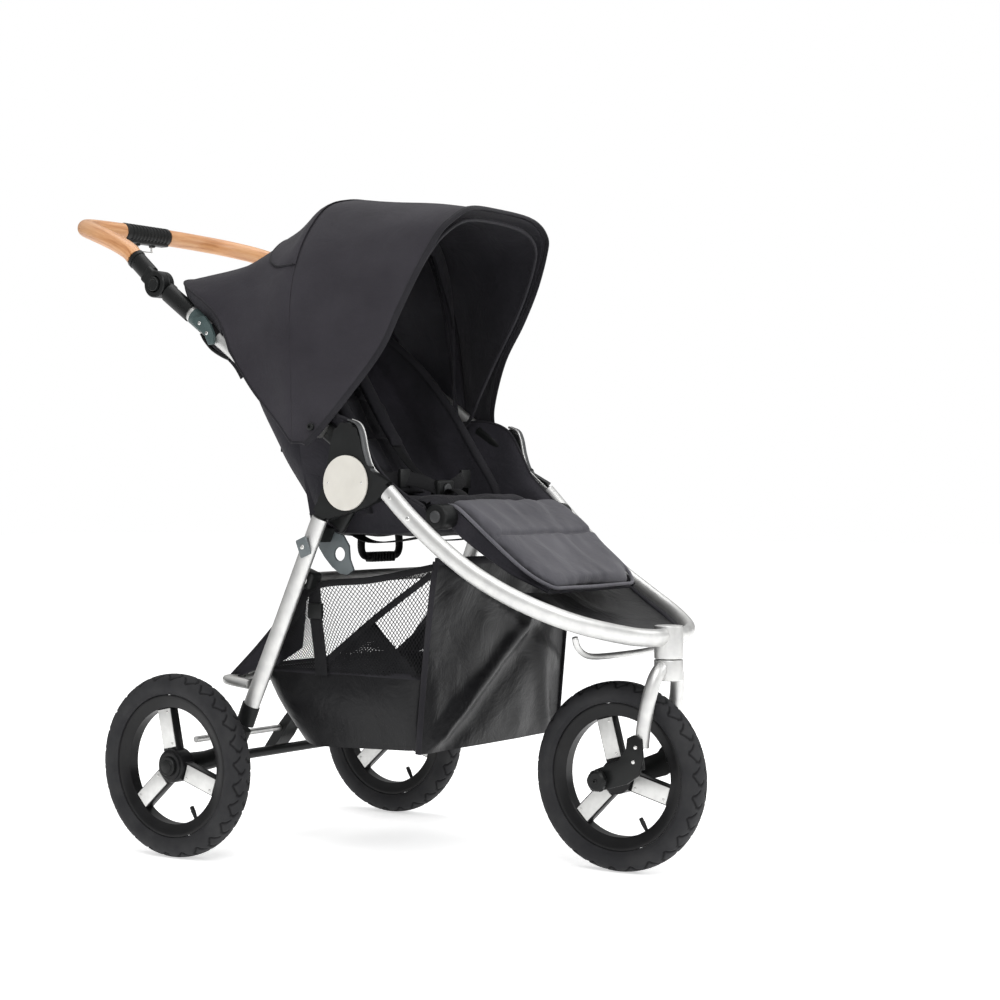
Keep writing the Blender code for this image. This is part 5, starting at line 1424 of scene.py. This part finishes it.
def make_basket():
    """A coated tub under see-through netting, edged with webbing and hung from the frame."""
    half = 0.200
    tub_rows = []
    for t in np.linspace(0, 1, 9):
        y_front = -0.1930 - 0.0140 * t
        z = 0.1930 + (0.3120 - 0.1930) * t
        y_back = 0.078 + (0.1560 - 0.078) * t
        wide = half - 0.016 * (1 - t) ** 2 + 0.003 * math.sin(math.pi * t)
        ring = rounded_ring(wide, y_front, y_back, 0.030, 0.055)
        tub_rows.append([(x, y, z - 0.006 * (1 - t) * math.cos(y * 9) + 0.010 * (1 - t) * max(0, (y - 0.02) / 0.06))
                         for x, y in ring])
    tub = np.array(tub_rows)
    tub = np.array([closed_spread(row, 160) for row in tub])
    tub = np.array([catmull(tub[:, k], 30) for k in range(160)]).transpose(1, 0, 2)
    for i in range(tub.shape[0]):
        for k in range(tub.shape[1]):
            p = tub[i, k]
            fade = min(1, i / 4)
            out = np.array([p[0], p[1] + 0.03, 0]) / max(1e-6, math.hypot(p[0], p[1] + 0.03))
            tub[i, k] = p + out * noise.noise(Vector(p) * 11 + Vector((5, 0, 0))) * 0.006 * fade
    rows, columns = tub.shape[:2]
    faces = grid_faces(rows, columns, False, True)
    faces.append(tuple(range(columns))[::-1])
    uv = []
    around = np.append(0, np.cumsum(np.linalg.norm(np.diff(tub[-1], axis=0), axis=1)))
    for i in range(rows):
        uv += [(around[k], i * 0.0043) for k in range(columns)]
    piece = mesh_piece("basket_tub", tub.reshape(-1, 3), faces, uv)
    apply_modifier(piece, "SOLIDIFY", thickness=0.0022, offset=0)
    round_off(piece, 50)
    dress(piece, None, COATED, "basket")
    hem = swept("basket_hem", tub[-1], tape(0.0100, 0.0030), (0, 0, 1), loop=True)
    dress(hem, None, BINDING)
    front = spread([[(x * 0.2040, -0.2045 + 0.006 * x * x, 0.1900) for x in (-1, -0.9, -0.5, 0, 0.5, 0.9, 1)],
                    [(x * 0.2040, -0.2160 + 0.008 * x * x, 0.2900) for x in (-1, -0.9, -0.5, 0, 0.5, 0.9, 1)],
                    [(x * 0.2030, -0.2290 + 0.010 * x * x, 0.4000) for x in (-1, -0.9, -0.5, 0, 0.5, 0.9, 1)],
                    [(x * 0.2000, -0.2380 + 0.008 * x * x, 0.4970) for x in (-1, -0.9, -0.5, 0, 0.5, 0.9, 1)]], 81, 61)
    for i in range(front.shape[0]):
        for k in range(front.shape[1]):
            x, y, z = front[i, k]
            way = (x + 0.165) * 0.80 - (z - 0.205) * 0.98
            fold = 0.011 * math.exp(-(way / 0.020) ** 2) - 0.006 * math.exp(-((way - 0.050) / 0.030) ** 2)
            fold += 0.006 * math.exp(-((x - 0.12 + (z - 0.34) * 0.35) / 0.018) ** 2)
            fold += 0.005 * math.exp(-(((x + 0.03) * 0.5 + (z - 0.42)) / 0.016) ** 2)
            edge = min(1, (0.200 - abs(x)) / 0.03, (z - 0.185) / 0.03, (0.497 - z) / 0.03)
            front[i, k, 1] -= max(0, edge) * (fold + noise.noise(Vector((x * 15, z * 9, 4.4))) * 0.006)
    panel = cloth("basket_front_panel", front, 0.0024)
    dress(panel, "front_frame", COATED)
    lip = swept("basket_front_lip", front[-1], tape(0.0130, 0.0034), (0, 0, 1))
    dress(lip, "front_frame", BINDING)
    pieces = [piece, hem]
    for word, side in SIDES:
        x = side * 0.2010
        corner = swept(f"basket_corner_{word}", catmull([front[i, 0 if side < 0 else -1] for i in (0, 15, 30, 45, 60)], 30),
                       tape(0.0110, 0.0030), (0, 1, 0))
        dress(corner, "front_frame", BINDING)
        top_front, top_back = np.array((x, -0.2260, 0.4880)), np.array((side * 0.2080, 0.0080, 0.4520))
        low_front, low_back = np.array((x, -0.2090, 0.3120)), np.array((x, 0.1480, 0.3120))
        rear_top = np.array((side * 0.2150, 0.0450, 0.4020))
        upper = catmull([top_front, (top_front + top_back) / 2 + np.array((0, 0, -0.004)), top_back, rear_top, low_back], 60)
        lower = catmull([low_front, (low_front + low_back) / 2, low_back], 60)
        side_grid = np.array([lower * (1 - t) + upper * t for t in np.linspace(0, 1, 16)])
        net = net_piece(f"basket_net_{word}", side_grid, 0.0046, 0.0010)
        dress(net, None, NET)
        edge = swept(f"basket_net_edge_{word}", upper, tape(0.0110, 0.0026), (0, -0.15, 1))
        dress(edge, None, WEBBING)
        brace = swept(f"basket_brace_{word}", catmull([top_front + (0, 0.004, -0.012), (x, -0.120, 0.410),
                                                        (x, -0.030, 0.345), (x, 0.010, 0.314)], 30),
                      tape(0.0110, 0.0024), (0, 0.5, 1))
        dress(brace, None, WEBBING)
        gusset = np.array([np.linspace(np.array((x * 0.998, -0.2060, 0.3110)) * (1 - t) + np.array((x * 0.998, -0.110, 0.3950)) * t,
                                       np.array((x * 0.998, 0.0050, 0.3110)) * (1 - t) + np.array((x * 0.998, -0.1000, 0.3980)) * t, 24)
                           for t in np.linspace(0, 1, 18)])
        web = net_piece(f"basket_gusset_{word}", gusset, 0.0046, 0.0030)
        dress(web, None, NET)
        hang = swept(f"basket_strap_{word}", catmull([(side * 0.2060, 0.012, 0.4580), (side * 0.2080, 0.006, 0.400),
                                                       (side * 0.2060, 0.000, 0.345), (side * 0.2040, -0.002, 0.306)], 24),
                     tape(0.0250, 0.0024), (0, 1, 0))
        dress(hang, None, WEBBING)
        clasp = slab(f"basket_clasp_{word}", (side * 0.2085, 0.007, 0.4120), (0.0080, 0.0290, 0.0260), 0.0025, 3)
        dress(clasp, None, NYLON)
        fly = spread([[(side * 0.2080, 0.0280, 0.4560), (side * 0.2150, 0.0700, 0.4050), (side * 0.2230, 0.1200, 0.3500),
                       (side * 0.2300, 0.1700, 0.3010)],
                      [(side * 0.2050, 0.0300, 0.4200), (side * 0.2080, 0.0700, 0.3750), (side * 0.2120, 0.1150, 0.3300),
                       (side * 0.2180, 0.1650, 0.2990)],
                      [(side * 0.2020, 0.0400, 0.3500), (side * 0.2020, 0.0750, 0.3300), (side * 0.2020, 0.1050, 0.3150),
                       (side * 0.2020, 0.1450, 0.3080)]], 41, 17)
        wing = cloth(f"basket_wing_{word}", fly, 0.0020)
        dress(wing, None, TWILL)
        wing_edge = swept(f"basket_wing_edge_{word}", fly[0], oval(0.0026, 0.0026, 10))
        dress(wing_edge, None, BINDING)
        pieces += [net, edge, brace, web, hang, clasp, wing, wing_edge]
    sleeve_line = [(x, 0.180, 0.2950) for x in np.linspace(-0.165, 0.165, 24)]
    sleeve = swept("basket_bar_sleeve", sleeve_line, oval(0.0125, 0.0118, 20), (0, 1, 0))
    dress(sleeve, "rear_legs", COATED)
    flap = spread([[(x, 0.1740, 0.3000) for x in np.linspace(-0.165, 0.165, 5)],
                   [(x, 0.1620, 0.3080) for x in np.linspace(-0.172, 0.172, 5)],
                   [(x, 0.1500, 0.3090) for x in np.linspace(-0.175, 0.175, 5)]], 41, 9)
    link = cloth("basket_rear_flap", flap, 0.0020)
    dress(link, "rear_legs", COATED)
    for one in pieces:
        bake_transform(one)


def rounded_ring(half, front, back, corner_front, corner_back):
    """A rounded rectangle in plan, from its half width and its front and back y."""
    points = []
    for cx, cy, r, start in ((half - corner_back, back - corner_back, corner_back, 0),
                             (-half + corner_back, back - corner_back, corner_back, 90),
                             (-half + corner_front, front + corner_front, corner_front, 180),
                             (half - corner_front, front + corner_front, corner_front, 270)):
        for i in range(7):
            a = math.radians(start + 15 * i)
            points.append((cx + r * math.cos(a), cy + r * math.sin(a)))
    return points


def closed_spread(points, count):
    """count points evenly spaced round a closed line."""
    pts = np.array(list(points) + [points[0]], float)
    reach = np.append(0, np.cumsum(np.linalg.norm(np.diff(pts, axis=0), axis=1)))
    at = np.linspace(0, reach[-1], count, endpoint=False)
    return np.array([[np.interp(a, reach, pts[:, i]) for i in range(3)] for a in at])
CARRIED = {"upper_tube_left": ALUMINIUM, "upper_tube_right": ALUMINIUM, "buckle_button": SLATE,
           "leg_rest_button_left": TRIM, "leg_rest_button_right": TRIM}


# ---- stage, light and camera ----
def make_stage():
    bpy.ops.object.select_all(action="DESELECT")
    bpy.ops.mesh.primitive_plane_add(size=40, location=(0, 0, -0.0002))
    floor = bpy.context.object
    floor.name = "studio_floor"
    material, tree, shader = blank("pale_floor")
    where = put(tree, "ShaderNodeTexCoord")
    ramp, _ = mottled(tree, where, "Object", "#ffffff", "#fbfbfb", 3)
    shade_ramp(ramp, [(0.3, "#fbfbfb"), (0.7, "#ffffff")])
    tree.links.new(ramp.outputs["Color"], shader.inputs["Base Color"])
    set_shader(shader, Roughness=0.9, Specular_IOR_Level=0.1, Emission_Color=(1, 1, 1, 1), Emission_Strength=0.55)
    floor.data.materials.append(material)
    world = bpy.context.scene.world or bpy.data.worlds.new("studio")
    bpy.context.scene.world = world
    world.use_nodes = True
    tree = world.node_tree
    back = tree.nodes["Background"]
    where = put(tree, "ShaderNodeTexCoord")
    axes = put(tree, "ShaderNodeSeparateXYZ", {}, {"Vector": (where, "Generated")})
    height = put(tree, "ShaderNodeMapRange", {"From Min": -1.0}, {"Value": (axes, "Z")})
    surround = put(tree, "ShaderNodeValToRGB", {}, {"Fac": (height, "Result")})
    shade_ramp(surround, [(0.35, "#7c7c7c"), (0.56, "#8a8a8a"), (0.80, "#d2d2d2")])
    seen = put(tree, "ShaderNodeLightPath")
    mixed = put(tree, "ShaderNodeMix", {"data_type": "RGBA", 7: (1.0, 1.0, 1.0, 1.0)},
                {0: (seen, "Is Camera Ray"), 6: (surround, "Color")})
    tree.links.new(mixed.outputs[2], back.inputs["Color"])
    back.inputs["Strength"].default_value = 1.0
    for name, place, aim, size, power in (
            ("key_softbox", (-2.6, -2.4, 3.4), (0, 0, 0.5), 2.4, 92),
            ("front_softbox", (1.6, -3.6, 2.2), (0, -0.1, 0.5), 2.0, 40),
            ("top_softbox", (0.3, 0.4, 4.0), (0, 0, 0.3), 2.6, 52)):
        light = bpy.data.lights.new(name, "AREA")
        light.shape = "SQUARE"
        light.size = size
        light.energy = power
        lamp = bpy.data.objects.new(name, light)
        lamp.location = place
        lamp.rotation_mode = "QUATERNION"
        lamp.rotation_quaternion = (Vector(aim) - Vector(place)).to_track_quat("-Z", "Y")
        bpy.context.scene.collection.objects.link(lamp)
    bpy.context.scene.view_settings.view_transform = "Standard"


def make_camera():
    lens = bpy.data.cameras.new("camera")
    lens.lens, lens.sensor_width = 75.1, 36
    lens.clip_start, lens.clip_end = 0.05, 60
    camera = bpy.data.objects.new("camera", lens)
    camera.location = (-2.878, -2.160, 0.607)
    camera.rotation_mode = "QUATERNION"
    camera.rotation_quaternion = Vector((0.8289, 0.5594, -0.0037)).to_track_quat("-Z", "Y")
    bpy.context.scene.collection.objects.link(camera)
    bpy.context.scene.camera = camera


make_stage()
make_camera()
make_wheels()
make_fork()
make_front_frame()
make_rear_frame()
make_handle()
make_canopy()
make_leg_rest()
make_seat()
make_footwell()
make_basket()
for name, node in frame["nodes"].items():
    if not node.hide_render:
        for slot_of_node in node.material_slots:
            slot_of_node.material = CARRIED.get(name, NYLON)
